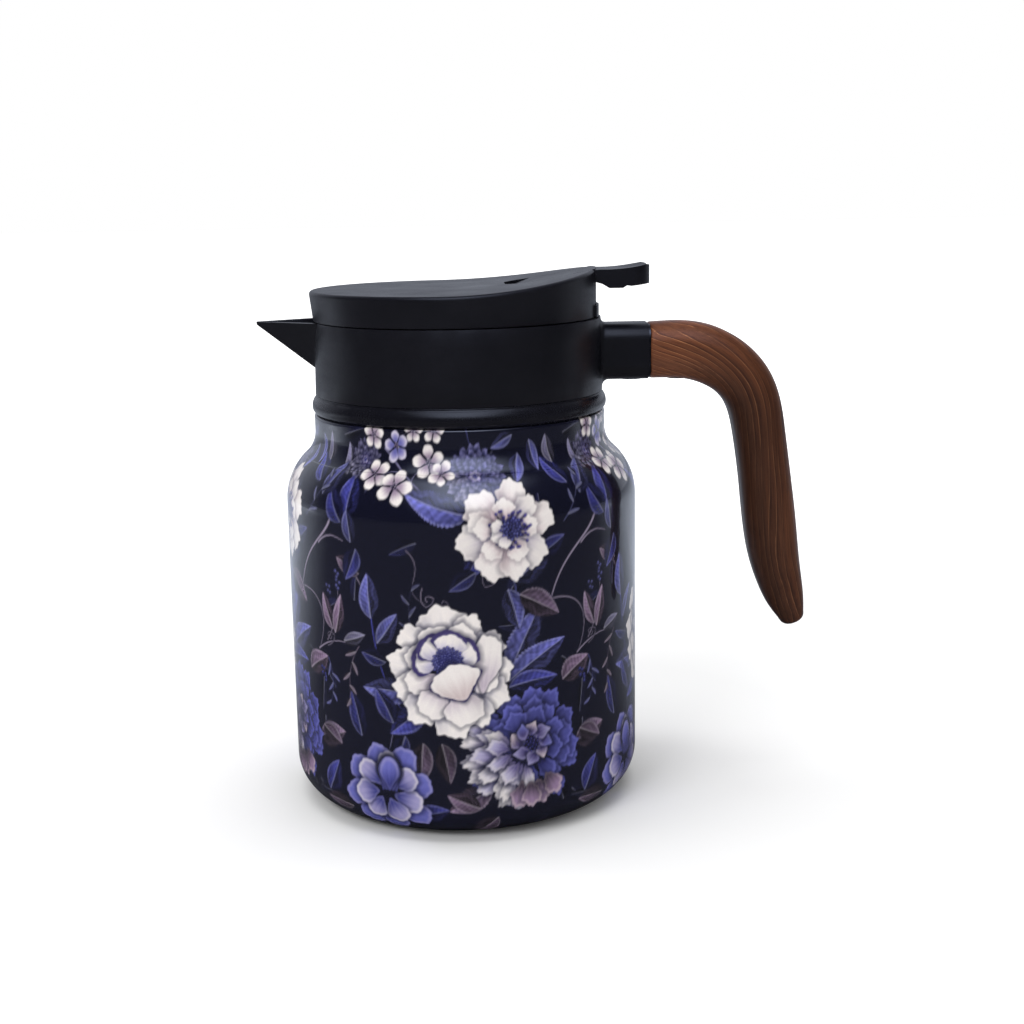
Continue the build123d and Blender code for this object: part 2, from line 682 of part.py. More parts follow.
with BuildPart() as thumb_lever:
    # Strip inlaid in the lid's top, dipping at its front, with a skirt down the rear wall
    flush_x = 25.0
    with BuildSketch(Plane.XZ):
        with BuildLine():
            Polyline(
                (LEVER_FRONT_X, PIVOT_Z + 0.2),
                (LEVER_FRONT_X, lid_surface_z(LEVER_FRONT_X) - 1.7),
                (flush_x, lid_surface_z(flush_x)),
            )
            RadiusArc(
                (flush_x, lid_surface_z(flush_x)),
                (skirt_x + 1, lid_surface_z(skirt_x + 1)),
                -LID_RISE_R,
            )
            Polyline(
                (skirt_x + 1, lid_surface_z(skirt_x + 1)),
                (skirt_x + 1, SLOT_FLOOR_Z + 0.2),
                (skirt_x - skirt_wall, SLOT_FLOOR_Z + 0.2),
                (skirt_x - skirt_wall, lid_surface_z(skirt_x) - strip_wall - 1),
                (PIVOT_X, lid_surface_z(PIVOT_X) - strip_wall),
                (flush_x, PIVOT_Z + 0.2),
                (LEVER_FRONT_X, PIVOT_Z + 0.2),
            )
        make_face()
    extrude(amount=LEVER_HALF_WIDTH, both=True)
    fillet(thumb_lever.edges().filter_by(Axis.Z).group_by(Axis.X)[0], radius=SLOT_FRONT_R - 0.6)
    with BuildSketch(Plane.XY.offset(LID_Z)):
        with Locations((LID_SHIFT, 0)):
            Circle(LID_R)
    extrude(amount=30, mode=Mode.INTERSECT)
    # Thumb pad
    with BuildSketch(Plane.XZ):
        with BuildLine():
            Polyline(
                (44.5, 176.5),
                (44.5, lid_surface_z(44.5) - 0.3),
                (47.6, 180.2),
            )
            ThreePointArc((47.6, 180.2), (56, 180.5), (LEVER_TIP_X, 182.0))
            Polyline(
                (LEVER_TIP_X, 182.0),
                (LEVER_TIP_X, 175.3),
                (58.0, 174.6),
                (56.5, 174.8),
                (55.2, 174.0),
                (50.6, 174.0),
                (48.3, 175.4),
                (44.5, 176.5),
            )
        make_face()
    extrude(amount=LEVER_HALF_WIDTH, both=True)
    fillet(thumb_lever.edges().filter_by(Axis.Z).group_by(Axis.X)[-1], radius=6)
    # Shallow thumb dish
    dish_r = 40
    with BuildSketch(Plane.XZ):
        with Locations((56.5, 180.2 + dish_r)):
            Circle(dish_r)
            Rectangle(dish_r * 2, dish_r * 3, align=(Align.MAX, Align.CENTER), mode=Mode.SUBTRACT)
    revolve(axis=Axis((56.5, 0, 0), (0, 0, 1)), mode=Mode.SUBTRACT)
    # Hub around the pin, and the arm that runs forward to the stem
    with BuildSketch(Plane.XZ):
        with Locations((PIVOT_X, PIVOT_Z)):
            Circle(3.4)
    extrude(amount=LEVER_HALF_WIDTH, both=True)
    with BuildSketch(Plane.XZ):
        with BuildLine():
            Polyline(
                (PIVOT_X, PIVOT_Z - 3.2),
                (PIVOT_X, PIVOT_Z + 1.5),
                (0, STEM_PIN_Z + 2.3),
                (-3.2, STEM_PIN_Z + 2.3),
                (-3.2, STEM_PIN_Z - 2.3),
                (6, STEM_PIN_Z - 2.3),
                close=True,
            )
        make_face()
    extrude(amount=4.2, both=True)
    fork_gap = 1.9
    with BuildSketch(Plane.XY.offset(STEM_PIN_Z)):
        Rectangle(14, 2 * fork_gap)
    extrude(amount=12, both=True, mode=Mode.SUBTRACT)
    with BuildSketch(Plane.XZ):
        with Locations((0.5, STEM_PIN_Z)):
            SlotOverall(5.0, 2 * STEM_PIN_R + 0.8)
        with Locations((PIVOT_X, PIVOT_Z)):
            Circle(PIVOT_R + RUNNING)
    extrude(amount=LEVER_HALF_WIDTH, both=True, mode=Mode.SUBTRACT)

with BuildPart() as lever_pin:
    with BuildSketch(Plane.XZ):
        with Locations((PIVOT_X, PIVOT_Z)):
            Circle(PIVOT_R)
    extrude(amount=ear_inner_y + ear_wall - 0.2, both=True)
    chamfer(lever_pin.edges(), length=0.3)

with BuildPart() as valve_stem:
    foot_z = SEAL_Z - 0.4
    add(tube(foot_z, SEAT_Z, 5))
    add(tube(SEAT_Z, STEM_PIN_Z, STEM_R))
    with BuildSketch(Plane.XZ):
        with Locations((0, STEM_PIN_Z)):
            Circle(STEM_R)
    extrude(amount=STEM_R, both=True)
    # The eye's flats, the hole for its pin, and the groove for the clip
    with BuildSketch(Plane.YZ):
        with Locations((2.5, STEM_PIN_Z + 0.5), (-2.5, STEM_PIN_Z + 0.5)):
            Rectangle(2.0, 8.0)
    extrude(amount=STEM_R + 1, both=True, mode=Mode.SUBTRACT)
    with BuildSketch(Plane.XZ):
        with Locations((0, STEM_PIN_Z)):
            Circle(STEM_PIN_R + RUNNING)
    extrude(amount=3, both=True, mode=Mode.SUBTRACT)
    with BuildSketch(Plane.XY.offset(PLUG_TOP_Z)):
        Circle(STEM_R + 1)
        Circle(CLIP_GROOVE_R, mode=Mode.SUBTRACT)
    extrude(amount=CLIP_TOP_Z - PLUG_TOP_Z, mode=Mode.SUBTRACT)

with BuildPart() as stem_pin:
    with BuildSketch(Plane.XZ):
        with Locations((0, STEM_PIN_Z)):
            Circle(STEM_PIN_R)
    extrude(amount=4.6, both=True)
    chamfer(stem_pin.edges(), length=0.2)

with BuildPart() as valve_seal:
    add(tube(SEAT_Z + 0.02, PLUG_Z, PLUG_R - 0.4, STEM_R + RUNNING))

with BuildPart() as valve_plug:
    add(tube(PLUG_Z, PLUG_TOP_Z, PLUG_R, STEM_R + RUNNING))
    chamfer(valve_plug.faces().sort_by(Axis.Z)[-1].outer_wire().edges(), length=0.8)

with BuildPart() as stem_clip:
    with BuildSketch(Plane.XY.offset(PLUG_TOP_Z)):
        Circle(4.4)
        Circle(CLIP_GROOVE_R + RUNNING, mode=Mode.SUBTRACT)
        with Locations((5, 0)):
            Rectangle(10, 3, mode=Mode.SUBTRACT)
    extrude(amount=CLIP_TOP_Z - PLUG_TOP_Z)

with BuildPart() as valve_spring:
    spring_low_z = PLUG_TOP_Z + SPRING_WIRE_R + RUNNING
    spring_high_z = DECK_Z - SPRING_WIRE_R - RUNNING
    spring_height = spring_high_z - spring_low_z
    with BuildLine(Plane.XY.offset(spring_low_z)):
        coil = Helix(pitch=spring_height / SPRING_TURNS, height=spring_height, radius=SPRING_R)
    with BuildSketch(Plane(origin=coil @ 0, z_dir=coil % 0)):
        Circle(SPRING_WIRE_R)
    sweep(path=coil, is_frenet=True)


# ---- Files ---------------------------------------------------------------------

pieces = {
    "outer_shell": outer_shell,
    "inner_liner": inner_liner,
    "outer_base": outer_base,
    "getter_cap": getter_cap,
    "trim_ring": trim_ring,
    "neck_gasket": neck_gasket,
    "collar": collar,
    "handle_tang": handle_tang,
    "handle_screws": handle_screws,
    "handle_spacer": handle_spacer,
    "grip": grip,
    "stopper_body": stopper_body,
    "stopper_base": stopper_base,
    "stopper_seal": stopper_seal,
    "stem_gasket": stem_gasket,
    "lid_screws": lid_screws,
    "lid_cover": lid_cover,
    "thumb_lever": thumb_lever,
    "lever_pin": lever_pin,
    "valve_stem": valve_stem,
    "stem_pin": stem_pin,
    "valve_seal": valve_seal,
    "valve_plug": valve_plug,
    "stem_clip": stem_clip,
    "valve_spring": valve_spring,
}
os.makedirs("parts", exist_ok=True)
for name, piece in pieces.items():
    piece.part.label = name
    export_step(piece.part, f"parts/{name}.step")
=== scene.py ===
"""Looks of the insulated table jug: printed steel jar, black collar and lid, walnut grip.

All lengths are in metres in the CAD frame, unless a comment says otherwise: the origin is the centre
of the foot, +Z is up, the beak points along -X, the handle along +X and the jug's front along -Y.
"""

import json
import math

import bpy
import numpy as np
from mathutils import Matrix, Vector


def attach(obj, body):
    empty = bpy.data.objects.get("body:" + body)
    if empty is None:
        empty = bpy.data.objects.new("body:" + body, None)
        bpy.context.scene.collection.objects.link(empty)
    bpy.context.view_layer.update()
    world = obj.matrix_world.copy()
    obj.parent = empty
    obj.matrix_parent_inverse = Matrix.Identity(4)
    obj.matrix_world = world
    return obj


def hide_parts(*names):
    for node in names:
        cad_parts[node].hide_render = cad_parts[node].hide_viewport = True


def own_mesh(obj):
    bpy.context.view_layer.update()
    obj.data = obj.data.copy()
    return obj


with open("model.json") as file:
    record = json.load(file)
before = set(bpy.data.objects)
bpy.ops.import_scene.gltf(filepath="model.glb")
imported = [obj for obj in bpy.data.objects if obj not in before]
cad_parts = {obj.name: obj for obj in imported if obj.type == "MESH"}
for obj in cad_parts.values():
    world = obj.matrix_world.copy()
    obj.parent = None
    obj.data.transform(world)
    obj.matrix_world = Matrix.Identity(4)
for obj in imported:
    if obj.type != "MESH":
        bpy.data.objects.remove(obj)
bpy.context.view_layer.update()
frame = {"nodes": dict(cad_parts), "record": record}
NODES = frame["nodes"]
SLOTS = {row["node"]: row["material_slot"] for row in frame["record"]["subparts"]}
MM = 0.001


# ---- The print ----

# The print repeats round the jug's straight side; lengths on the steel are in millimetres
BODY_R = 60.0
REPEATS = 4
REPEAT = 2 * math.pi * BODY_R / REPEATS


def colour(red, green, blue):
    """A screen colour from its values up to 255."""
    return np.array([red, green, blue]) / 255


GROUND = colour(15, 16, 33)
IVORY = colour(238, 231, 228)
BLUSH = colour(214, 196, 196)
LILAC = colour(158, 152, 196)
IRIS = colour(104, 106, 186)
BLUE = colour(66, 68, 152)
DEEP = colour(33, 33, 88)
VIOLET = colour(92, 80, 150)
MAUVE = colour(126, 104, 132)
DUSTY = colour(92, 76, 98)
TWIG = colour(150, 138, 160)
GOLDEN_ANGLE = 2.39996


class Print:
    """One repeat of the jug's print, painted stroke by stroke."""

    def __init__(self, columns, rows, low, high, seed):
        self.columns, self.rows, self.low = columns, rows, low
        self.du, self.dv = REPEAT / columns, (high - low) / rows
        self.rgb = np.tile(GROUND, (rows, columns, 1))
        self.draw = np.random.default_rng(seed)

    def patch(self, u, v, reach):
        """The cells within reach of a point, and their offsets from it. The pattern wraps round."""
        col = np.arange(math.floor((u - reach) / self.du), math.ceil((u + reach) / self.du))
        row = np.arange(
            max(0, math.floor((v - reach - self.low) / self.dv)),
            min(self.rows, math.ceil((v + reach - self.low) / self.dv)),
        )
        x, y = np.meshgrid((col + 0.5) * self.du - u, self.low + (row + 0.5) * self.dv - v)
        return np.ix_(row, col % self.columns), x, y

    def lay(self, at, cover, paint):
        """Paints over the cells, as far as each one is covered."""
        old = self.rgb[at]
        self.rgb[at] = old + (paint - old) * np.clip(cover, 0, 1)[..., None]


def soft(distance, width=0.3):
    """How far an edge covers each cell: 0 outside the shape, 1 inside it."""
    return np.clip(distance / width + 0.5, 0, 1)


def ramp(x, low, high):
    """A smooth rise from 0 to 1."""
    t = np.clip((x - low) / (high - low), 0, 1)
    return t * t * (3 - 2 * t)


def turned(x, y, heading):
    """Offsets as seen along a heading: how far ahead, and how far to the left."""
    c, s = math.cos(math.radians(heading)), math.sin(math.radians(heading))
    return x * c + y * s, y * c - x * s


def spoke(u, v, reach, heading):
    """The point at a distance and heading from (u, v)."""
    return u + reach * math.cos(math.radians(heading)), v + reach * math.sin(math.radians(heading))


def petal(
    art, u, v, heading, length, width, paints, ruffle=0.5, shade=0.3, point=0.0, shadow=0.6
):
    """A petal from its root at (u, v): shaded from root to tip, streaked, and wavy at its edge.
    paints are the colours of its root, its tip and its rim."""
    root, tip, rim = paints
    at, x, y = art.patch(u, v, length * 1.25 + width * 0.5)
    t, w = turned(x, y, heading)
    phase = art.draw.uniform(0, 2 * math.pi, 4)
    side = art.draw.choice([-1, 1])
    along = t / length
    spread = width / 2 * (0.34 + 0.66 * ramp(along, 0.0, 0.62)) * (1 - point * ramp(along, 0.45, 1.05))
    angle = np.arctan2(w / width, along - 0.55)
    wave = sum(
        share * np.sin(waves * angle + shift)
        for share, waves, shift in zip((0.5, 0.3, 0.2), (5, 9, 15), phase)
    )
    reach = np.sqrt(((along - 0.52) / 0.5) ** 2 + (w / spread) ** 2)
    edge = (1 - reach * (1 + 0.07 * ruffle * wave)) * min(length, width) / 2
    art.lay(at, soft(edge + 0.5, 2.4) * shadow, GROUND)
    across = np.clip(w / spread, -1.2, 1.2)
    paint = root + (tip - root) * ramp(along, 0.05, 0.8)[..., None]
    sweep = np.sin(across * 13 + phase[3] + 1.5 * np.sin(along * 4 + phase[0]))
    fan = sweep * 0.6 + np.sin(across * 29 + phase[1]) * 0.4
    paint = paint + (root - tip) * (0.20 * fan * (1.05 - along))[..., None]
    hollow = ramp(across * side, 0.0, 1.0) * (0.4 + 0.6 * ramp(along, 1.0, 0.2))
    paint = paint + (root * 0.75 - paint) * (shade * hollow)[..., None]
    bright = np.exp(-((edge - 0.45) / 0.5) ** 2) * (0.3 + 0.5 * ramp(along, 0.3, 0.9))
    paint = paint + (rim - paint) * (bright * 0.75)[..., None]
    art.lay(at, soft(edge), paint)


def set_petal(art, flower, heading, reach, length, width, paints, lean=0, **more):
    """A petal of a flower, whose root lies at a heading and reach from the middle. flower is
    (u, v, size), and reach, length and width are shares of that size."""
    u, v, size = flower
    root = spoke(u, v, reach * size, heading)
    petal(art, *root, heading + lean, length * size, width * size, paints, **more)


def ring(art, flower, count, start, reach, length, width, paints, **more):
    """Petals all round the middle of a flower."""
    for k in art.draw.permutation(count):
        heading = start + 360 * k / count + art.draw.uniform(-6, 6)
        longer, wider = art.draw.uniform(0.9, 1.1), art.draw.uniform(0.9, 1.1)
        set_petal(art, flower, heading, reach, length * longer, width * wider, paints, **more)


def dots(art, u, v, reach, count, size, low, high):
    """Stamens: small dots spread evenly over a disc, lighter towards its edge."""
    for k in range(count):
        r = reach * math.sqrt((k + 0.5) / count)
        a = k * GOLDEN_ANGLE
        at, x, y = art.patch(u + r * math.cos(a), v + r * math.sin(a), size * 2)
        d = size - np.hypot(x, y)
        art.lay(at, soft(d + 0.15, 0.3) * 0.8, DEEP * 0.6)
        share = art.draw.uniform(0.2, 1) * (0.4 + 0.6 * r / reach)
        glow = 0.1 * np.clip((x + y) / size, -1, 1)[..., None]
        art.lay(at, soft(d, 0.25), low + (high - low) * share + glow)


def disc(art, u, v, radius, paint, edge=1.2, cover=1.0):
    """A round spot with a soft edge."""
    at, x, y = art.patch(u, v, radius + edge)
    art.lay(at, soft(radius - np.hypot(x, y), edge) * cover, paint)


def leaf(art, u, v, heading, length, width, paint, bend=0.0, teeth=0.0, dark=0.5, glow=0.35):
    """A leaf with a midrib and side veins. One half is darker than the other, and it may be toothed."""
    at, x, y = art.patch(u, v, length * 1.1)
    t, w = turned(x, y, heading)
    along = np.clip(t / length, 0, 1)
    w = w - bend * length * along * (1 - 0.25 * along) * along
    shape = np.sin(math.pi * along**0.8) ** 0.85 * (t > 0) * (t < length)
    vein = along * 9 - np.abs(w) / width * 3.2
    notch = (vein * 2) % 1
    spread = width / 2 * shape * (1 - teeth * notch * 0.22) + 1e-6
    inside = (t > 0) & (t < length)
    edge = np.where(inside, spread - np.abs(w), -9.0)
    art.lay(at, soft(edge + 0.4, 1.6) * 0.45, GROUND)
    half = np.where(w > 0, 1.0, dark)
    tone = half * (0.88 + 0.09 * np.cos(2 * math.pi * vein)) * (0.70 + 0.55 * along)
    brush = w / spread * 7 + np.sin(t * 0.9 + heading) * 1.3
    grain = np.sin(brush) * 0.10 + np.sin(brush * 2.3 + t * 0.7) * 0.06
    body = paint * np.clip(tone + grain, 0, 1.4)[..., None]
    light = np.exp(-((edge - 0.3) / 0.35) ** 2) * glow * (w > 0)
    body = body + (paint * 0.4 + 0.55 - body) * light[..., None]
    art.lay(at, soft(edge, 0.28), body)
    midrib = soft(0.16 * (1.2 - along) + 0.06 - np.abs(w), 0.22) * (t > 0) * (t < length * 0.95)
    art.lay(at, midrib * 0.7, paint * 0.5 + 0.42)


def stem(art, points, thick, paint, thin=0.4):
    """A tapering stroke along a smooth curve through control points."""
    p = np.array(points, float)
    n = 60
    s = np.linspace(0, 1, n)[:, None]
    last = len(p) - 1
    path = sum(math.comb(last, k) * s**k * (1 - s) ** (last - k) * p[k] for k in range(last + 1))
    low, high = path.min(0), path.max(0)
    mid, reach = (low + high) / 2, (high - low).max() / 2 + 1.5
    at, x, y = art.patch(mid[0], mid[1], reach)
    best = np.full(x.shape, 1e9)
    share = np.zeros(x.shape)
    for k in range(n - 1):
        a, b = path[k] - mid, path[k + 1] - mid
        d = b - a
        f = np.clip(((x - a[0]) * d[0] + (y - a[1]) * d[1]) / max(d @ d, 1e-9), 0, 1)
        dist = np.hypot(x - a[0] - f * d[0], y - a[1] - f * d[1])
        near = dist < best
        best[near] = dist[near]
        share[near] = ((k + f) / (n - 1))[near]
    half = thick / 2 * (1 + (thin - 1) * share)
    art.lay(at, soft(half + 0.3 - best, 0.6) * 0.4, GROUND)
    round_light = 0.75 + 0.35 * np.clip((half - best) / half, 0, 1)
    art.lay(at, soft(half - best, 0.25), paint * round_light[..., None])


def blossom(art, u, v, size, heart, tip, start=0.0):
    """A small flower with five petals."""
    paints = (heart, tip, IVORY)
    ring(art, (u, v, size), 5, start, 0.12, 0.9, 0.75, paints, ruffle=0.7, shade=0.2, shadow=0.3)
    dots(art, u, v, 0.22 * size, 7, 0.22, MAUVE, IVORY)


def tendril(art, u, v, heading, size, paint):
    """A thin stem that ends in a curl."""
    for turn, reach in ((0, 1.0), (130, 0.62), (255, 0.40), (370, 0.25)):
        middle = spoke(u, v, reach * size, heading + turn)
        end = spoke(*middle, 0.7 * reach * size, heading + turn + 75)
        stem(art, [(u, v), middle, end], 0.34, paint, thin=0.9)
        u, v = end


def sprig(art, points, paint, leaves, size):
    """A thin stem with small leaves on alternate sides."""
    stem(art, points, 0.5, paint * 0.7 + 0.1)
    first, middle, last = np.array(points, float)
    for k in range(leaves):
        s = (k + 0.6) / leaves
        u, v = (1 - s) ** 2 * first + 2 * s * (1 - s) * middle + s**2 * last
        ahead = 2 * (1 - s) * (middle - first) + 2 * s * (last - middle)
        heading = math.degrees(math.atan2(ahead[1], ahead[0])) + (42 if k % 2 else -42)
        leaf(art, u, v, heading, size * (1.1 - 0.4 * s), size * 0.36, paint, bend=0.1)


def berries(art, u, v, heading, count, paint):
    """A spray of berries along a heading, each with a spot of light."""
    for k in range(count):
        sideways = math.sin(k * 2.3) * (1 - 0.5 * k / count)
        bu, bv = spoke(*spoke(u, v, 0.95 * k, heading), sideways, heading + 90)
        disc(art, bu, bv, 0.75, paint * 0.5, 0.3)
        disc(art, bu + 0.15, bv + 0.2, 0.4, paint * 1.05 + 0.06, 0.4, 0.8)


def peony(art, u, v, size):
    """A large ivory flower seen a little from below: loose ruffled petals round a cup with dark blue
    rims, which opens towards the upper left on blue stamens."""
    grey, mauve = colour(150, 146, 172), colour(190, 176, 190)
    flower = (u, v, size)
    # Heading, reach, length and width of each open petal
    for row in (
        (100, 0.34, 0.70, 0.78), (140, 0.36, 0.64, 0.52), (68, 0.36, 0.60, 0.46), (172, 0.32, 0.68, 0.54),
        (34, 0.38, 0.56, 0.52), (202, 0.30, 0.66, 0.50), (0, 0.38, 0.56, 0.54), (-30, 0.36, 0.62, 0.56),
        (232, 0.32, 0.70, 0.58), (-58, 0.34, 0.66, 0.50), (-88, 0.34, 0.72, 0.66),
    ):
        set_petal(art, flower, *row, (grey, IVORY, IVORY), ruffle=2.0, shade=0.6)
    for row in (
        (118, 0.20, 0.56, 0.62), (74, 0.22, 0.55, 0.50), (158, 0.20, 0.54, 0.48), (198, 0.22, 0.52, 0.46),
        (-10, 0.22, 0.52, 0.56), (242, 0.26, 0.56, 0.56), (-72, 0.28, 0.60, 0.66),
    ):
        set_petal(art, flower, *row, (mauve, IVORY, IVORY), ruffle=1.4, shade=0.5)
    # A tall petal stands up at the right of the cup
    petal(
        art, u + 0.48 * size, v - 0.36 * size, 82, 0.92 * size, 0.50 * size,
        (mauve, IVORY, IVORY), ruffle=1.2, shade=0.55, shadow=0.8,
    )
    # The back of the cup, dark blue at its rims
    cu, cv = u - 0.06 * size, v + 0.10 * size
    cup = (cu, cv, size)
    back = (DEEP * 1.1, VIOLET * 0.75, VIOLET * 0.62)
    for heading in (168, 40, 130, 84):
        set_petal(art, cup, heading, 0.10, 0.46, 0.56, back, ruffle=0.8, shade=0.2, shadow=0.5)
        set_petal(
            art, cup, heading - 5, 0.08, 0.41, 0.50, (LILAC, IVORY, IVORY),
            ruffle=1.0, shade=0.45, shadow=0.0,
        )
    disc(art, cu + 0.02 * size, cv + 0.04 * size, 0.19 * size, DEEP * 1.6, 2.5)
    dots(art, cu + 0.02 * size, cv + 0.05 * size, 0.25 * size, 110, 0.34, BLUE * 0.6, IRIS * 0.95)
    # Its front is one broad bowl with a thin blue shadow round it
    for grow, paints in (
        (1.06, (DEEP * 1.1, VIOLET * 0.65, VIOLET * 0.62)),
        (1.0, (BLUSH * 0.95, IVORY, IVORY)),
    ):
        set_petal(
            art, cup, -66, 0.64 + (grow - 1) * 0.5, 0.60 * grow, 0.80 * grow, paints,
            lean=178, ruffle=1.1, shade=0.15, shadow=0.4,
        )


def anemone(art, u, v, size):
    """An open ivory flower with notched mauve-shaded petals and an eye of dark stamens."""
    grey, mauve = colour(168, 158, 176), colour(196, 172, 180)
    flower = (u, v, size)
    for heading, length, width in (
        (78, 0.86, 0.62), (18, 0.84, 0.66), (136, 0.80, 0.72), (-40, 0.82, 0.70),
        (196, 0.78, 0.70), (248, 0.84, 0.74), (-78, 0.80, 0.56), (48, 0.70, 0.44), (160, 0.62, 0.50),
    ):
        reach = art.draw.uniform(0.18, 0.26)
        root, tip = (mauve, IVORY) if art.draw.random() < 0.6 else (grey, IVORY * 0.97)
        set_petal(
            art, flower, heading, reach, length * 0.92, width, (root, tip, IVORY),
            ruffle=2.1, shade=0.75, shadow=0.35,
        )
    for heading in (10, 95, 170, 230, 300):
        set_petal(
            art, flower, heading, 0.16, 0.46, 0.44, (mauve, IVORY, IVORY), ruffle=2.0, shade=0.6, shadow=0.25
        )
    for k in range(64):
        heading = 20 + 150 * art.draw.normal()
        reach = size * art.draw.uniform(0.20, 0.42) * (1.0 + 0.18 * math.cos(math.radians(heading - 20)))
        su, sv = spoke(u, v, reach, heading)
        path = [spoke(u, v, 0.12 * size, heading), spoke(u, v, 0.2 * size, heading), (su, sv)]
        stem(art, path, 0.22, MAUVE * 0.7)
        disc(art, su, sv, 0.48, DEEP * 1.1, 0.35)
        disc(art, su + 0.1, sv + 0.15, 0.22, VIOLET * 1.2, 0.3)
    for heading in (205, 150, 260):
        set_petal(art, flower, heading, 0.05, 0.27, 0.26, (grey, IVORY, IVORY), ruffle=2.0, shadow=0.5)
    dots(art, u + 0.10 * size, v + 0.05 * size, 0.22 * size, 40, 0.40, BLUE * 0.5, IRIS)


def dahlia(art, u, v, size, light, dark):
    """A round flower of many small pointed petals, paler on the side towards the light."""
    flower = (u, v, size)
    for k in range(7):
        share = k / 6
        count = int(19 - 1.7 * k)
        root = dark * (0.55 + 0.35 * share)
        tip = light * (0.8 + 0.15 * math.sin(k * 2.1)) + 0.02
        for n in art.draw.permutation(count):
            heading = k * 11 + 360 * n / count + art.draw.uniform(-7, 7)
            pale = max(0.0, math.cos(math.radians(heading - 225))) * 0.85 * art.draw.uniform(0.2, 1.1)
            length = (0.44 - 0.14 * share) * art.draw.uniform(0.88, 1.15)
            paints = (root, tip + (IVORY * 0.92 - tip) * pale, LILAC)
            set_petal(
                art, flower, heading, 0.62 - 0.56 * share, length, 0.28 - 0.06 * share, paints,
                ruffle=2.2, shade=0.45, point=0.2, shadow=0.5,
            )
    disc(art, u, v, 0.24 * size, DEEP * 0.8, 3.0)
    for heading in (20, 75, 130, 190, 245, 305):
        set_petal(
            art, flower, heading, 0.26, 0.20, 0.18, (VIOLET, LILAC * 1.1, IVORY * 0.9),
            lean=170, ruffle=1.5, shade=0.4, shadow=0.5,
        )
    dots(art, u, v, 0.09 * size, 12, 0.22, BLUE, LILAC)


def tousled(art, u, v, size):
    """A large blue flower with a loose heart: broad dusky petals behind, a fan of pale streaky ones
    that falls to the lower left, mauve ones below and a curl of small petals round the dark middle."""
    flower = (u, v, size)
    dusky = BLUE * 0.55 + IRIS * 0.45
    rows = ((13, 0.52, 0.50, 0.42), (11, 0.36, 0.50, 0.40), (9, 0.24, 0.46, 0.36))
    for k, (count, reach, length, width) in enumerate(rows):
        for n in art.draw.permutation(count):
            heading = 17 * k + 360 * n / count + art.draw.uniform(-8, 8)
            paints = (DEEP * 0.9, dusky * art.draw.uniform(0.75, 1.05), IRIS * 1.05)
            longer, wider = art.draw.uniform(0.85, 1.12), art.draw.uniform(0.85, 1.15)
            set_petal(
                art, flower, heading, reach, length * longer, width * wider, paints,
                ruffle=2.4, shade=0.55, shadow=0.55,
            )
    for k, (reach, length) in enumerate(((0.58, 0.50), (0.40, 0.50), (0.26, 0.42))):
        for n in art.draw.permutation(8):
            heading = 152 + 15 * n + 6 * k + art.draw.uniform(-4, 4)
            pale, lean = art.draw.uniform(0.1, 0.9), art.draw.uniform(-14, 14)
            paints = (VIOLET * 0.75, LILAC * (1 - pale) + IVORY * 0.95 * pale, IVORY * 0.92)
            longer, wider = art.draw.uniform(0.85, 1.1), art.draw.uniform(0.8, 1.2)
            set_petal(
                art, flower, heading, reach, length * longer, 0.25 * wider, paints,
                lean=lean, ruffle=2.6, shade=0.65, shadow=0.6,
            )
    for heading in (288, 262, 305, 276):
        set_petal(
            art, flower, heading, 0.56, 0.46, 0.36, (DUSTY * 0.6, MAUVE * 1.15, BLUSH * 0.95),
            ruffle=2.4, shade=0.6, shadow=0.5,
        )
    cu, cv = u + 0.10 * size, v + 0.07 * size
    disc(art, cu, cv, 0.36 * size, DEEP * 0.75, 3.5)
    for heading, reach, length, width, paint in (
        (150, 0.42, 0.33, 0.30, BLUSH), (205, 0.38, 0.31, 0.24, LILAC), (258, 0.38, 0.28, 0.26, LILAC),
        (306, 0.36, 0.27, 0.22, BLUSH), (350, 0.38, 0.30, 0.24, IRIS), (32, 0.40, 0.32, 0.28, LILAC),
        (80, 0.38, 0.26, 0.24, BLUSH), (116, 0.40, 0.29, 0.22, IRIS),
    ):
        set_petal(
            art, (cu, cv, size), heading, reach, length, width, (paint * 0.95, VIOLET * 0.7, LILAC),
            lean=158, ruffle=1.0, shade=0.7, point=0.25, shadow=0.9,
        )
    dots(art, cu, cv, 0.16 * size, 22, 0.26, DEEP * 1.2, VIOLET)


def bloom(art, u, v, size):
    """A half-open blue flower with a round bud at its heart."""
    flower = (u, v, size)
    outer = (DEEP * 1.2, IRIS * 0.95, LILAC)
    ring(art, flower, 8, 10, 0.3, 0.74, 0.62, outer, ruffle=1.2, shade=0.5)
    inner = (BLUE * 0.8, LILAC * 0.98, IVORY * 0.95)
    ring(art, flower, 7, 35, 0.16, 0.62, 0.52, inner, ruffle=1.0, shade=0.45)
    # Each petal of the bud leans in from one side
    for side, width in ((150, 0.5), (30, 0.5), (115, 0.5), (65, 0.5), (90, 0.44)):
        petal(
            art, u + (0.06 - 0.18 * math.cos(math.radians(side))) * size, v - 0.02 * size,
            side * 0.35 + 90 * 0.65, 0.72 * size, width * size,
            (BLUE * 0.75, IRIS, LILAC), ruffle=0.3, shade=0.45,
        )


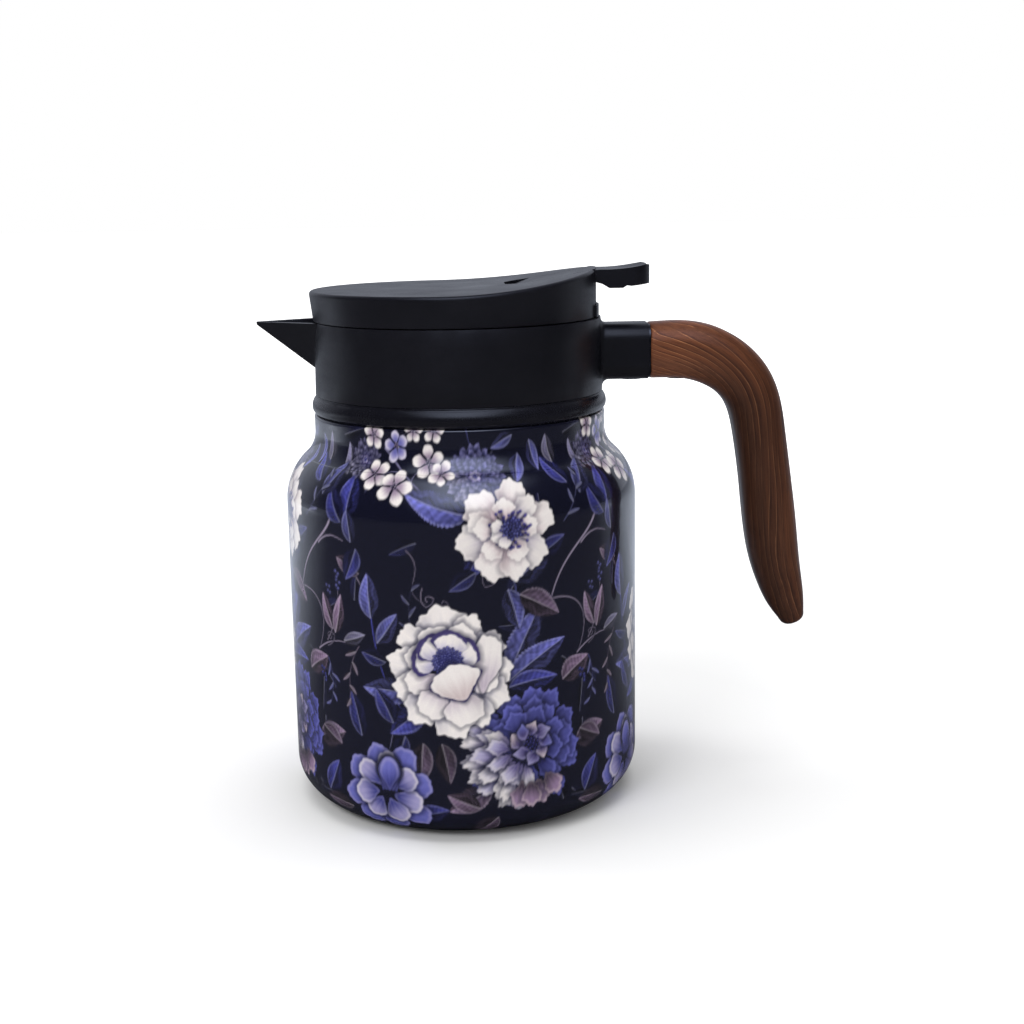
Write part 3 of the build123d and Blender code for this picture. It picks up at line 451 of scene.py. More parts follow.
def paint_print(columns, rows, low, high):
    """The whole repeat, from the stems at the back to the flowers in front. It runs from u = 0 in the
    middle of the jug's front; v is the height on the straight side, then runs on over the shoulder."""
    art = Print(columns, rows, low, high, 11)
    draw = art.draw
    # Faint leaves deep in the ground
    for k in range(34):
        u, v, heading = draw.uniform(0, REPEAT), draw.uniform(low, high), draw.uniform(0, 360)
        length, width, level = draw.uniform(7, 12), draw.uniform(3, 5), draw.uniform(0.3, 0.5)
        leaf(art, u, v, heading, length, width, BLUE * level, bend=draw.uniform(-0.2, 0.2), glow=0.05)
    # Branches and twigs: the thickness, colour and path of each
    for thick, paint, *path in (
        (1.0, TWIG, (48, 106), (45, 97), (34, 96), (29, 80)),
        (0.6, TWIG, (41, 96), (46, 101), (53, 98)),
        (0.55, TWIG * 0.85, (27, 79), (40, 82), (47, 72), (38, 58)),
        (0.6, TWIG * 0.9, (39, 60), (47, 66), (55, 64)),
        (0.5, TWIG * 0.8, (44, 64), (50, 72), (50, 82)),
        (0.6, TWIG * 0.8, (-40, 92), (-33, 84), (-31, 76)),
        (0.55, BLUE, (-31, 76), (-30, 62), (-26, 50), (-20, 44)),
        (0.35, TWIG * 0.8, (-18, 97), (-10, 90), (-22, 84), (-12, 80)),
    ):
        stem(art, path, thick, paint)
    tendril(art, -13, 85, 250, 4.5, TWIG * 0.85)
    tendril(art, -9, 79, 330, 3.2, TWIG * 0.7)
    tendril(art, 8, 92, 230, 5.0, TWIG * 0.7)
    tendril(art, 44, 62, 20, 4.0, TWIG * 0.7)
    for thick, paint, *path in (
        (0.6, LILAC * 0.9, (-30, 130), (-22, 124), (-14, 114), (-4, 110)),
        (0.4, LILAC * 0.8, (-22, 122), (-28, 124), (-30, 118)),
        (0.4, LILAC * 0.8, (-16, 116), (-20, 122), (-10, 126)),
        (0.6, IRIS * 0.7, (16, 88), (18, 80), (14, 74)),
        (0.6, LILAC * 0.7, (-27, 48), (-22, 42), (-26, 30)),
        (0.5, IRIS * 0.6, (2, 138), (4, 126), (10, 118)),
    ):
        stem(art, path, thick, paint)
    # Leaves
    for u, v, heading, length, width, paint, bend in (
        (2, 108, 172, 21, 9.5, IRIS, -0.25), (6, 110, 130, 12, 6, IRIS * 0.9, 0.1),
        (8, 100, 235, 14, 6.5, BLUE * 0.9, 0.1), (-31, 74, 98, 14, 6.5, IRIS * 0.95, -0.1),
        (-29, 66, 48, 12, 5.5, IRIS * 0.85, 0.15), (-26, 60, 160, 9, 5, BLUE * 0.6, 0.1),
        (-16, 50, 172, 18, 8, IRIS * 0.9, 0.12), (-14, 46, 225, 14, 8, BLUE, -0.1),
        (14, 56, 68, 24, 9, IRIS * 0.85, -0.1), (14, 54, 40, 22, 8.5, IRIS * 0.95, -0.2),
        (14, 52, 15, 16, 6.5, BLUE, -0.2), (16, 86, 35, 17, 8, IRIS * 0.75, 0.15),
        (14, 84, -70, 13, 6.5, IRIS * 0.8, -0.1), (18, 82, -25, 15, 8, DUSTY * 1.1, -0.1),
        (4, 90, 210, 10, 5, BLUE * 0.6, 0.1), (24, 94, 20, 11, 5.5, BLUE * 0.7, 0.2),
        (33, 52, 38, 12, 8, MAUVE, -0.2), (38, 30, 12, 13, 8, MAUVE * 0.95, 0.1),
        (40, 34, -30, 10, 6, DUSTY, 0.1), (-14, 34, 262, 13, 6.5, DUSTY, 0.1),
        (-8, 34, 285, 13, 6, DUSTY * 0.8, -0.1), (-20, 36, 250, 9, 5, BLUE * 0.7, 0.1),
        (8, 18, 200, 15, 8, MAUVE, 0.15), (4, 12, 160, 11, 6, MAUVE * 0.9, -0.1),
        (10, 8, 230, 13, 7, DUSTY * 1.1, 0.1), (47, 68, 118, 12, 4.5, MAUVE * 1.05, -0.15),
        (48, 67, 70, 13, 4.5, MAUVE * 1.1, 0.15), (52, 65, 15, 9, 4, LILAC * 0.7, 0.1),
        (-44, 120, 105, 11, 5, LILAC * 0.8, 0.1), (-40, 106, 80, 14, 8, BLUE, 0.2),
        (-42, 104, 130, 12, 7, BLUE * 0.8, -0.2), (-38, 98, 95, 10, 5, IRIS * 0.7, 0.1),
        (-35, 88, 150, 10, 6, MAUVE * 0.8, 0.1), (-36, 96, 250, 11, 6, BLUE * 0.8, -0.1),
        (38, 116, 120, 12, 6, BLUE, 0.1), (42, 112, 60, 13, 6.5, IRIS * 0.75, 0.1),
        (36, 124, 95, 9, 5, LILAC * 0.7, 0.1), (22, 128, 250, 10, 5, IRIS, 0.1),
        (27, 132, 285, 10, 4.5, IRIS * 0.9, -0.1), (20, 134, 200, 9, 4, IRIS * 0.8, 0.1),
        (-24, 40, 110, 12, 6, BLUE * 0.8, 0.2), (-36, 34, 100, 15, 6, BLUE * 0.75, 0.1),
        (42, 12, 60, 12, 7, BLUE * 0.9, 0.1), (-18, 8, 20, 12, 6.5, BLUE * 0.8, -0.1),
        (-42, 8, 170, 12, 6, MAUVE * 0.7, 0.1),
    ):
        leaf(art, u, v, heading, length * 1.05, width * 1.18, paint, bend, teeth=0.6 if width > 7 else 0.25)
    # Sprigs and berries
    berries(art, 50, 82, 95, 7, IRIS * 0.75)
    berries(art, 46, 80, 120, 4, IRIS * 0.65)
    berries(art, 40, 54, 300, 6, BLUE * 0.8)
    sprig(art, [(44, 58), (48, 50), (44, 42)], BLUE * 0.8, 5, 4.5)
    sprig(art, [(-36, 64), (-42, 56), (-40, 44)], DUSTY, 5, 5)
    sprig(art, [(34, 104), (40, 110), (44, 120)], IRIS * 0.6, 4, 5)
    sprig(art, [(-14, 66), (-20, 74), (-16, 86)], BLUE * 0.5, 5, 5)
    # Flowers
    dahlia(art, -38.5, 126, 6.5, LILAC, VIOLET)
    dahlia(art, 5, 121, 10, IRIS * 0.9, BLUE * 0.9)
    tousled(art, 19.5, 31, 19.5)
    bloom(art, -27, 17, 16)
    anemone(art, 14, 102.5, 16.5)
    peony(art, -4.5, 58, 20.5)
    for u, v, size, start in (
        (-35, 134, 4.6, 10), (-32, 121, 5.6, 40), (-23, 117, 6.0, 0), (-12, 126, 5.8, 25),
        (-7, 122, 4.6, 60), (-10, 136, 4.2, 80), (-18, 136, 3.6, 15),
    ):
        blossom(art, u, v, size, MAUVE, IVORY, start)
    blossom(art, -25, 131, 5.0, BLUE, LILAC, 30)
    return art.rgb


# ---- Meshes ----


def make_object(name, points, faces, body, node):
    """A mesh piece from points in millimetres and faces. It rides on a body, stands for a CAD node
    and has the finish of that node."""
    mesh = bpy.data.meshes.new(name)
    mesh.from_pydata([tuple(p) for p in np.array(points) * MM], [], [tuple(f) for f in faces])
    mesh.validate()
    mesh.polygons.foreach_set("use_smooth", [True] * len(mesh.polygons))
    mesh.materials.append(FINISHES[SLOTS[node]])
    piece = bpy.data.objects.new(name, mesh)
    bpy.context.scene.collection.objects.link(piece)
    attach(piece, body)
    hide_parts(node)
    return piece


def store(mesh, name, kind, values):
    """Writes a value or a colour for every vertex."""
    layer = mesh.attributes.new(name, kind, "POINT")
    key = {"FLOAT_COLOR": "color", "FLOAT_VECTOR": "vector"}.get(kind, "value")
    layer.data.foreach_set(key, np.ascontiguousarray(values, np.float32).ravel())


def grid_faces(rows, columns, close_rows=False):
    """Quads between rows of points, each row a closed loop of columns."""
    r = np.arange(rows if close_rows else rows - 1)[:, None]
    c = np.arange(columns)[None, :]
    after = (r + 1) % rows
    right = (c + 1) % columns
    quads = np.stack(
        [r * columns + c, r * columns + right, after * columns + right, after * columns + c], -1
    )
    return quads.reshape(-1, 4)


def swept_faces(rows, columns):
    """Quads along a sweep, and a cap at each of its ends."""
    caps = range(columns - 1, -1, -1), range((rows - 1) * columns, rows * columns)
    return [*grid_faces(rows, columns), *caps]


def arc(centre, radius, start, end, step):
    """Points on an arc, angles in degrees, no further apart than step."""
    count = max(2, math.ceil(abs(math.radians(end - start)) * radius / step) + 1)
    a = np.radians(np.linspace(start, end, count))
    return np.stack([centre[0] + radius * np.cos(a), centre[1] + radius * np.sin(a)], 1)


def line(start, end, step):
    """Points on a straight line, no further apart than step."""
    count = max(2, math.ceil(math.dist(start, end) / step) + 1)
    return np.linspace(start, end, count)


def join(*runs):
    """Runs of points end to end, with no point twice."""
    out = [np.asarray(runs[0])]
    for run in runs[1:]:
        run = np.asarray(run)
        skip = 1 if math.dist(out[-1][-1], run[0]) < 1e-6 else 0
        out.append(run[skip:])
    return np.concatenate(out)


# ---- Node helpers ----


class Nodes:
    """A node tree with a short way to add and join nodes."""

    def __init__(self, tree):
        self.tree = tree

    def node(self, kind, **settings):
        made = self.tree.nodes.new("ShaderNode" + kind)
        for key, value in settings.items():
            setattr(made, key, value)
        return made

    def feed(self, socket, value):
        """Joins a socket to another one, or gives it a value."""
        if isinstance(value, bpy.types.NodeSocket):
            self.tree.links.new(value, socket)
        else:
            socket.default_value = value

    def feed_all(self, node, **values):
        """Feeds inputs by their names, written with _ for each space."""
        for name, value in values.items():
            self.feed(node.inputs[name.replace("_", " ")], value)

    def joined(self, kind, output, *values, **settings):
        """The output of a new node, whose first inputs are fed in order."""
        made = self.node(kind, **settings)
        for socket, value in zip(made.inputs, values):
            self.feed(socket, value)
        return made.outputs[output]

    def math(self, operation, a, b=0.0):
        return self.joined("Math", 0, a, b, operation=operation)

    def scaled(self, vector, scale):
        """A vector stretched by three factors."""
        return self.joined("VectorMath", 0, vector, scale, operation="MULTIPLY")

    def dimmed(self, vector, factor):
        """A colour or vector times one factor."""
        made = self.node("VectorMath", operation="SCALE")
        self.feed_all(made, Vector=vector, Scale=factor)
        return made.outputs["Vector"]

    def split(self, vector):
        """The three parts of a vector."""
        made = self.node("SeparateXYZ")
        self.feed_all(made, Vector=vector)
        return made.outputs

    def spread(self, value, low, high, new_low, new_high, **settings):
        """A value moved from one range to another, and kept inside it."""
        return self.joined("MapRange", "Result", value, low, high, new_low, new_high, **settings)

    def mix(self, share, a, b, kind="MIX"):
        """Two colours mixed, or blended in another way."""
        made = self.node("Mix", data_type="RGBA", blend_type=kind)
        self.feed(made.inputs["Factor"], share)
        for key, value in (("A", a), ("B", b)):
            self.feed(made.inputs[key], value if isinstance(value, bpy.types.NodeSocket) else (*value, 1.0))
        return made.outputs["Result"]


class Shader(Nodes):
    """A material and its node tree."""

    def __init__(self, name):
        self.material = bpy.data.materials.new(name)
        self.material.use_nodes = True
        super().__init__(self.material.node_tree)
        self.place = self.node("TexCoord").outputs["Object"]

    def attribute(self, name, output):
        """A value kept in the mesh."""
        return self.node("Attribute", attribute_name=name).outputs[output]

    def noise(self, vector, scale, detail=3.0, roughness=0.55):
        made = self.node("TexNoise")
        self.feed_all(made, Vector=vector, Scale=scale, Detail=detail, Roughness=roughness)
        return made.outputs["Fac"]

    def streaks(self, vector, stretch, detail=3.0, roughness=0.55):
        """Noise drawn out by three factors."""
        return self.noise(self.scaled(vector, stretch), 1.0, detail, roughness)

    def ramp(self, factor, *stops):
        """A colour ramp; each stop is (place, (red, green, blue))."""
        made = self.node("ValToRGB")
        points = made.color_ramp.elements
        while len(points) < len(stops):
            points.new(0.5)
        for point, (place, shade) in zip(points, stops):
            point.position = place
            point.color = (*shade, 1.0)
        self.feed(made.inputs["Fac"], factor)
        return made.outputs["Color"]

    def bump(self, height, strength, distance):
        made = self.node("Bump")
        self.feed_all(made, Height=height, Strength=strength, Distance=distance)
        return made.outputs["Normal"]

    def finish(self, **values):
        """Sets the surface's inputs and hands back the material."""
        self.feed_all(self.tree.nodes["Principled BSDF"], **values)
        return self.material


# ---- Materials ----

# How tool marks are drawn out: in fine lines round the jug's axis, or not at all
ROUND_THE_AXIS = (40.0, 40.0, 2600.0)
ALL_WAYS = (900.0, 900.0, 900.0)


def make_printed_steel():
    """Glossy lacquer over the print, and brushed bare steel where there is no print."""
    s = Shader("printed_steel")
    mask = s.attribute("printed", "Fac")
    speckle = s.spread(s.noise(s.place, 2600.0, 2.0), 0.3, 0.7, 0.97, 1.03)
    inked = s.dimmed(s.attribute("print", "Color"), speckle)
    brushed = s.streaks(s.place, ROUND_THE_AXIS)
    steel = s.ramp(brushed, (0.3, (0.50, 0.50, 0.51)), (0.7, (0.66, 0.66, 0.67)))
    steel_rough = s.ramp(brushed, (0.3, (0.24, 0.24, 0.24)), (0.7, (0.38, 0.38, 0.38)))
    smears = s.noise(s.place, 26.0, 4.0)
    skin = s.bump(s.noise(s.place, 95.0, 2.0), 0.05, 0.002)
    return s.finish(
        Base_Color=s.mix(mask, steel, inked),
        Metallic=s.math("SUBTRACT", 1.0, mask),
        Roughness=s.mix(mask, steel_rough, s.spread(smears, 0.35, 0.7, 0.16, 0.26)),
        Coat_Weight=s.math("MULTIPLY", mask, 0.9),
        Coat_Roughness=s.spread(smears, 0.35, 0.7, 0.03, 0.07),
        Normal=skin,
        Coat_Normal=skin,
    )


def make_black_plastic(name, rough_low, rough_high):
    """Black moulded plastic: a fine spark-eroded grain, faint flow marks and handling shine."""
    s = Shader(name)
    grain = s.noise(s.place, 1900.0, 3.0, 0.6)
    cloud = s.noise(s.place, 38.0, 4.0)
    flow = s.streaks(s.place, (60.0, 60.0, 420.0), 2.0)
    rough = s.math(
        "ADD", s.spread(cloud, 0.3, 0.7, rough_low, rough_high), s.spread(flow, 0.3, 0.7, -0.03, 0.03)
    )
    return s.finish(
        Base_Color=s.ramp(cloud, (0.3, (0.0045, 0.0045, 0.0075)), (0.7, (0.0075, 0.0075, 0.0115))),
        Roughness=s.math("ADD", rough, s.spread(grain, 0.35, 0.65, -0.03, 0.05)),
        Specular_IOR_Level=0.42,
        Normal=s.bump(grain, 0.12, 0.0002),
    )


def make_walnut():
    """Oiled walnut. Growth rings show as lines that run down the bent grip, each dark at one edge
    and fading to a light thread, with open pores between them."""
    s = Shader("walnut")
    grain = s.attribute("grain", "Vector")
    along, across, through = s.split(grain)
    sway = s.streaks(grain, (0.009, 0.07, 0.07), 2.0)
    ripple = s.streaks(grain, (0.03, 0.4, 0.4))
    depth = s.math(
        "ADD", s.math("MULTIPLY", through, 0.55), s.math("MULTIPLY", s.math("ABSOLUTE", across), 0.06)
    )
    drift = s.math("ADD", s.math("MULTIPLY", sway, 4.0), s.math("MULTIPLY", ripple, 0.7))
    rings = s.ramp(
        s.math("FRACT", s.math("ADD", depth, drift)),
        (0.00, (0.034, 0.011, 0.0060)),
        (0.10, (0.062, 0.020, 0.0095)),
        (0.35, (0.092, 0.030, 0.0130)),
        (0.82, (0.108, 0.036, 0.0145)),
        (0.89, (0.290, 0.125, 0.0560)),
        (0.92, (0.115, 0.040, 0.0160)),
        (1.00, (0.038, 0.013, 0.0070)),
    )
    fine = s.streaks(grain, (0.03, 2.6, 2.6), 4.0, 0.65)
    threads = s.ramp(fine, (0.32, (0.66, 0.60, 0.58)), (0.50, (1.0, 1.0, 1.0)), (0.70, (1.22, 1.18, 1.12)))
    pores = s.spread(s.streaks(grain, (0.14, 6.5, 6.5), 2.0), 0.30, 0.40, 1.0, 0.0)
    body = s.streaks(grain, (0.02, 0.10, 0.10), 2.0)
    plain = s.ramp(body, (0.35, (0.066, 0.022, 0.0100)), (0.65, (0.118, 0.041, 0.0175)))
    # The rings stand out in some places and fade in others
    strength = s.spread(s.streaks(grain, (0.03, 0.25, 0.25), 2.0), 0.38, 0.62, 0.10, 0.90)
    wood = s.mix(0.9, s.mix(strength, plain, rings), threads, "MULTIPLY")
    wood = s.mix(s.math("MULTIPLY", pores, 0.5), wood, (0.012, 0.005, 0.003))
    # Painted light and shade: the wood is lighter by the collar and darker further down, and painted shade
    # darkens the inside of the bend
    inside = s.spread(s.attribute("outward", "Fac"), -0.9, 0.35, 0.62, 0.0)
    shade = s.math("MULTIPLY", inside, s.spread(along, 12.0, 42.0, 0.0, 1.0))
    level = s.math("MULTIPLY", s.math("SUBTRACT", 1.0, shade), s.spread(along, 0.0, 42.0, 1.75, 0.82))
    height = s.math("SUBTRACT", s.math("MULTIPLY", fine, 0.4), s.math("MULTIPLY", pores, 0.6))
    return s.finish(
        Base_Color=s.dimmed(wood, level),
        Roughness=s.spread(fine, 0.3, 0.7, 0.46, 0.34),
        Specular_IOR_Level=0.28,
        Coat_Weight=0.08,
        Coat_Roughness=0.3,
        Normal=s.bump(height, 0.08, 0.0001),
    )


def make_steel(name, stretch, dull, bright, rough_low, rough_high):
    """Bare steel with fine tool marks that run along one direction."""
    s = Shader(name)
    marks = s.streaks(s.place, stretch, 4.0, 0.65)
    cloud = s.noise(s.place, 45.0, 3.0)
    rough = s.math(
        "ADD", s.spread(marks, 0.3, 0.7, rough_low, rough_high), s.spread(cloud, 0.3, 0.7, -0.03, 0.04)
    )
    return s.finish(
        Base_Color=s.ramp(marks, (0.3, dull), (0.7, bright)),
        Metallic=1.0,
        Roughness=rough,
        Normal=s.bump(marks, 0.08, 0.0002),
    )


def make_silicone():
    """Milky silicone rubber, a little see-through at its lips, with a dusty surface."""
    s = Shader("silicone")
    dust = s.noise(s.place, 700.0, 4.0)
    cloud = s.noise(s.place, 60.0, 3.0)
    return s.finish(
        Base_Color=s.ramp(cloud, (0.3, (0.56, 0.57, 0.58)), (0.7, (0.68, 0.68, 0.67))),
        Roughness=s.spread(dust, 0.3, 0.7, 0.42, 0.62),
        Subsurface_Weight=0.25,
        Subsurface_Scale=0.002,
        Normal=s.bump(dust, 0.15, 0.0002),
    )


# The finish of each of the record's material slots
FINISHES = {
    "printed_steel": make_printed_steel(),
    "black_plastic": make_black_plastic("black_plastic", 0.30, 0.38),
    "walnut": make_walnut(),
    "brushed_steel": make_steel(
        "brushed_steel", ROUND_THE_AXIS, (0.50, 0.50, 0.51), (0.64, 0.64, 0.65), 0.24, 0.38
    ),
    "bright_steel": make_steel(
        "bright_steel", ALL_WAYS, (0.62, 0.62, 0.63), (0.74, 0.74, 0.75), 0.12, 0.2
    ),
    "silicone": make_silicone(),
}
# The spacer's steel is darkened as painted shade for the shadowed gap between stub and grip, and the ring
# under the collar is moulded in a polished tool
SPECIAL = {
    "handle_spacer": make_steel(
        "painted_shade_steel", ALL_WAYS, (0.045, 0.045, 0.05), (0.09, 0.09, 0.10), 0.25, 0.4
    ),
    "trim_ring": make_black_plastic("polished_plastic", 0.20, 0.25),
}


# ---- Steel jar ----

# Sizes in millimetres, those of the CAD node
WALL = 0.8
HEEL, HEEL_R = (46.0, 14.0), 14.0
SHOULDER, SHOULDER_R = (39.0, 104.0), 21.0
HOLLOW, HOLLOW_R = (60.272, 127.6), 10.772
NECK_R = 49.5
LEDGE = 133.3
THROAT_R = 45.4
BEAD, BEAD_R = (45.15, 143.5), 1.1
RIM = 147.0
LIP_R = 43.2
BASE_R, BASE_EDGE_R = 44.0, 45.9
EDGE_R = 0.7
COLUMNS = 1024
STEP = 0.37


def shell_outline():
    """The shell's closed outline, and how many of its points carry the print."""
    turn = math.degrees(math.atan2(HOLLOW[1] - SHOULDER[1], HOLLOW[0] - SHOULDER[0]))
    body_inside, neck_inside, throat_inside = BODY_R - WALL, NECK_R - WALL, THROAT_R - WALL
    printed = join(
        arc(HEEL, HEEL_R, -90, 0, STEP),
        line((BODY_R, HEEL[1]), (BODY_R, SHOULDER[1]), STEP),
        arc(SHOULDER, SHOULDER_R, 0, turn, STEP),
        arc(HOLLOW, HOLLOW_R, 180 + turn, 180, STEP),
        line((NECK_R, HOLLOW[1]), (NECK_R, LEDGE - EDGE_R), STEP),
        arc((NECK_R - EDGE_R, LEDGE - EDGE_R), EDGE_R, 0, 90, 0.3),
    )
    rest = join(
        # Up the throat, over its bead and the rim
        arc((THROAT_R + EDGE_R, LEDGE + EDGE_R), EDGE_R, -90, -180, 0.2),
        line((THROAT_R, LEDGE + EDGE_R), (THROAT_R, BEAD[1] - 1.0), 3.0),
        arc(BEAD, BEAD_R, -68, 68, 0.3),
        line((THROAT_R, BEAD[1] + BEAD_R), (THROAT_R, RIM - EDGE_R), 1.0),
        arc((THROAT_R - EDGE_R, RIM - EDGE_R), EDGE_R, 0, 90, 0.2),
        line((LIP_R, RIM), (LIP_R, RIM - WALL), 1.0),
        # Down the inside, and out under the heel
        line((throat_inside, RIM - WALL), (throat_inside, LEDGE - WALL), 3.0),
        line((neck_inside, LEDGE - WALL), (neck_inside, HOLLOW[1]), 1.5),
        arc(HOLLOW, HOLLOW_R + WALL, 180, 180 + turn, 1.0),
        arc(SHOULDER, SHOULDER_R - WALL, turn, 0, 1.0),
        line((body_inside, SHOULDER[1]), (body_inside, HEEL[1]), 6.0),
        arc(HEEL, HEEL_R - WALL, 0, -90, 1.0),
        line((HEEL[0], WALL), (BASE_R, WALL), 1.0),
        line((BASE_R, WALL), (BASE_R, 0.0), 0.4),
        line((BASE_R, 0.0), (BASE_EDGE_R, 0.0), 0.5),
    )
    return join(printed, rest), len(printed)


def linear(shade):
    """Screen colour values to the linear ones that a render works in."""
    return np.where(shade <= 0.04045, shade / 12.92, ((shade + 0.055) / 1.055) ** 2.4)


def make_shell():
    """The printed steel jar. Its print is painted at twice the mesh's fineness and averaged."""
    outline, printed = shell_outline()
    a = np.linspace(0, 2 * math.pi, COLUMNS, endpoint=False)
    r, z = outline[:, :1], outline[:, 1:]
    points = np.stack([r * np.cos(a), r * np.sin(a), z + 0 * a], -1).reshape(-1, 3)
    faces = grid_faces(len(outline), COLUMNS, close_rows=True)
    shell = make_object("printed_shell", points, faces, "jug", "outer_shell")
    steps = np.hypot(*np.diff(outline[:printed], axis=0).T)
    height = np.concatenate([[0], np.cumsum(steps)])
    # Heights match z on the straight side
    height += HEEL_R * (1 - math.pi / 2)
    columns = COLUMNS // REPEATS
    rows = math.ceil((height[-1] - height[0]) / STEP)
    art = paint_print(2 * columns, 2 * rows, height[0], height[-1])
    art = linear(np.clip(art, 0, 1)).reshape(rows, 2, columns, 2, 3).mean((1, 3))
    place = (height - height[0]) / (height[-1] - height[0]) * (rows - 1)
    low = np.minimum(place.astype(int), rows - 2)
    share = (place - low)[:, None, None]
    rings = art[low] * (1 - share) + art[low + 1] * share
    # The pattern starts at the front of the jug, three quarters of the way round from +X
    start = (np.arange(COLUMNS) - 3 * COLUMNS // 4) % columns
    shades = np.zeros((len(outline), COLUMNS, 4))
    shades[..., 3] = 1
    shades[:printed, :, :3] = rings[:, start]
    mask = np.zeros((len(outline), COLUMNS))
    mask[:printed] = 1
    store(shell.data, "print", "FLOAT_COLOR", shades)
    store(shell.data, "printed", "FLOAT", mask)


# ---- Grip ----

# Centre x, centre z, thickness, width, down the grip from the collar to its tip
GRIP_STATIONS = (
    (64.8, 152.35, 18.9, 18.0), (74.7, 152.4, 19.4, 18.6), (82.2, 151.3, 19.7, 19.0),
    (89.0, 148.5, 19.5, 19.0), (94.6, 144.4, 19.0, 19.0), (98.8, 139.1, 18.5, 18.8),
    (101.5, 132.4, 18.0, 18.6), (103.3, 123.3, 17.6, 18.2), (105.3, 109.4, 17.6, 17.8),
    (107.5, 91.5, 18.0, 17.4), (109.1, 80.6, 17.2, 17.0), (111.5, 70.4, 15.1, 15.8),
    (114.1, 62.2, 12.1, 13.4), (115.8, 57.6, 9.0, 10.6),
)
GRIP_AROUND = 72


def through_points(table, first, last, step):
    """A smooth curve through rows of numbers. The first two columns are a place, which sets its
    length; first and last are the slopes of all columns at its ends."""
    gaps = np.hypot(*np.diff(table[:, :2], axis=0).T)
    run = np.concatenate([[0], np.cumsum(gaps)])
    count = len(table)
    matrix, right = np.zeros((count, count)), np.zeros(table.shape)
    matrix[0, 0] = matrix[-1, -1] = 1
    right[0], right[-1] = first, last
    for k in range(1, count - 1):
        before, after = gaps[k - 1], gaps[k]
        matrix[k, k - 1 : k + 2] = after, 2 * (before + after), before
        right[k] = 3 * (
            after * (table[k] - table[k - 1]) / before + before * (table[k + 1] - table[k]) / after
        )
    slopes = np.linalg.solve(matrix, right)
    at = np.linspace(0, run[-1], math.ceil(run[-1] / step) + 1)
    k = np.clip(np.searchsorted(run, at, side="right") - 1, 0, count - 2)
    gap = gaps[k][:, None]
    t = (at - run[k])[:, None] / gap
    return (
        (2 * t**3 - 3 * t**2 + 1) * table[k]
        + (t**3 - 2 * t**2 + t) * gap * slopes[k]
        + (3 * t**2 - 2 * t**3) * table[k + 1]
        + (t**3 - t**2) * gap * slopes[k + 1]
    )


def grip_spine():
    """Centre x, centre z, heading below the horizontal, thickness and width along the grip."""
    lean = math.radians(70)
    path = through_points(
        np.array(GRIP_STATIONS), (1, 0, 0.05, 0.06), (math.cos(lean), -math.sin(lean), -0.7, -0.6), 0.8
    )
    dx, dz = np.gradient(path[:, 0]), np.gradient(path[:, 1])
    heading = np.arctan2(-dz, dx)
    heading[0] = 0
    return np.column_stack([path[:, :2], heading, path[:, 2:]])


def rounded_loop(width, thickness, corner, count):
    """Points round a rounded rectangle, spaced evenly, as (across, through)."""
    w, t = width / 2 - corner, thickness / 2 - corner
    dense = []
    for cx, ct, start in ((w, t, 0), (-w, t, 90), (-w, -t, 180), (w, -t, 270)):
        for a in np.radians(np.linspace(start, start + 90, 24)):
            dense.append((cx + corner * math.cos(a), ct + corner * math.sin(a)))
    dense.append(dense[0])
    dense = np.array(dense)
    run = np.concatenate([[0], np.cumsum(np.hypot(*np.diff(dense, axis=0).T))])
    at = np.linspace(0, run[-1], count, endpoint=False)
    return np.stack([np.interp(at, run, dense[:, 0]), np.interp(at, run, dense[:, 1])], 1)


def make_grip():
    """The grip is swept along its curve. Each point keeps its place in the wood: how far along,
    across and through, where the grain lines drift towards the inside of the bend. It also keeps
    how far out of the bend it lies, from -1 to 1."""
    spine = grip_spine()
    loops, grains, sides = [], [], []

    def add_loop(x, z, heading, width, thickness, along, corner_share=0.40):
        corner = corner_share * min(width, thickness)
        out = (math.sin(heading), math.cos(heading))
        drift = 8 * (1 - math.exp(-along / 22)) + 0.045 * along
        for across, through in rounded_loop(width, thickness, corner, GRIP_AROUND):
            loops.append((x + through * out[0], across, z + through * out[1]))
            grains.append((along, across, through + drift))
            sides.append(2 * through / thickness)

    # The end by the collar is flat with a small rounded edge
    x, z, heading, thickness, width = spine[0]
    for sink, ahead in ((5.0, 0.0), (1.2, 0.0), (0.6, 0.0), (0.25, 0.12), (0.07, 0.4)):
        add_loop(x + ahead, z, heading, width - 2 * sink, thickness - 2 * sink, ahead)
    along = 0.0
    for before, here in zip(spine, spine[1:]):
        along += math.dist(before[:2], here[:2])
        x, z, heading, thickness, width = here
        add_loop(x, z, heading, width, thickness, along)
    # The tip is a rounded cap a little past the last station
    x, z, heading, thickness, width = spine[-1]
    for t in np.radians(np.linspace(9, 86, 10)):
        ahead, shrink = 3.3 * math.sin(t), 0.12 + 0.88 * math.cos(t)
        add_loop(
            x + ahead * math.cos(heading),
            z - ahead * math.sin(heading),
            heading,
            width * shrink,
            thickness * shrink,
            along + ahead,
            0.46,
        )
    faces = swept_faces(len(loops) // GRIP_AROUND, GRIP_AROUND)
    grip = make_object("wooden_grip", loops, faces, "jug", "grip")
    store(grip.data, "grain", "FLOAT_VECTOR", np.array(grains))
    store(grip.data, "outward", "FLOAT", np.array(sides))


# ---- Valve spring ----


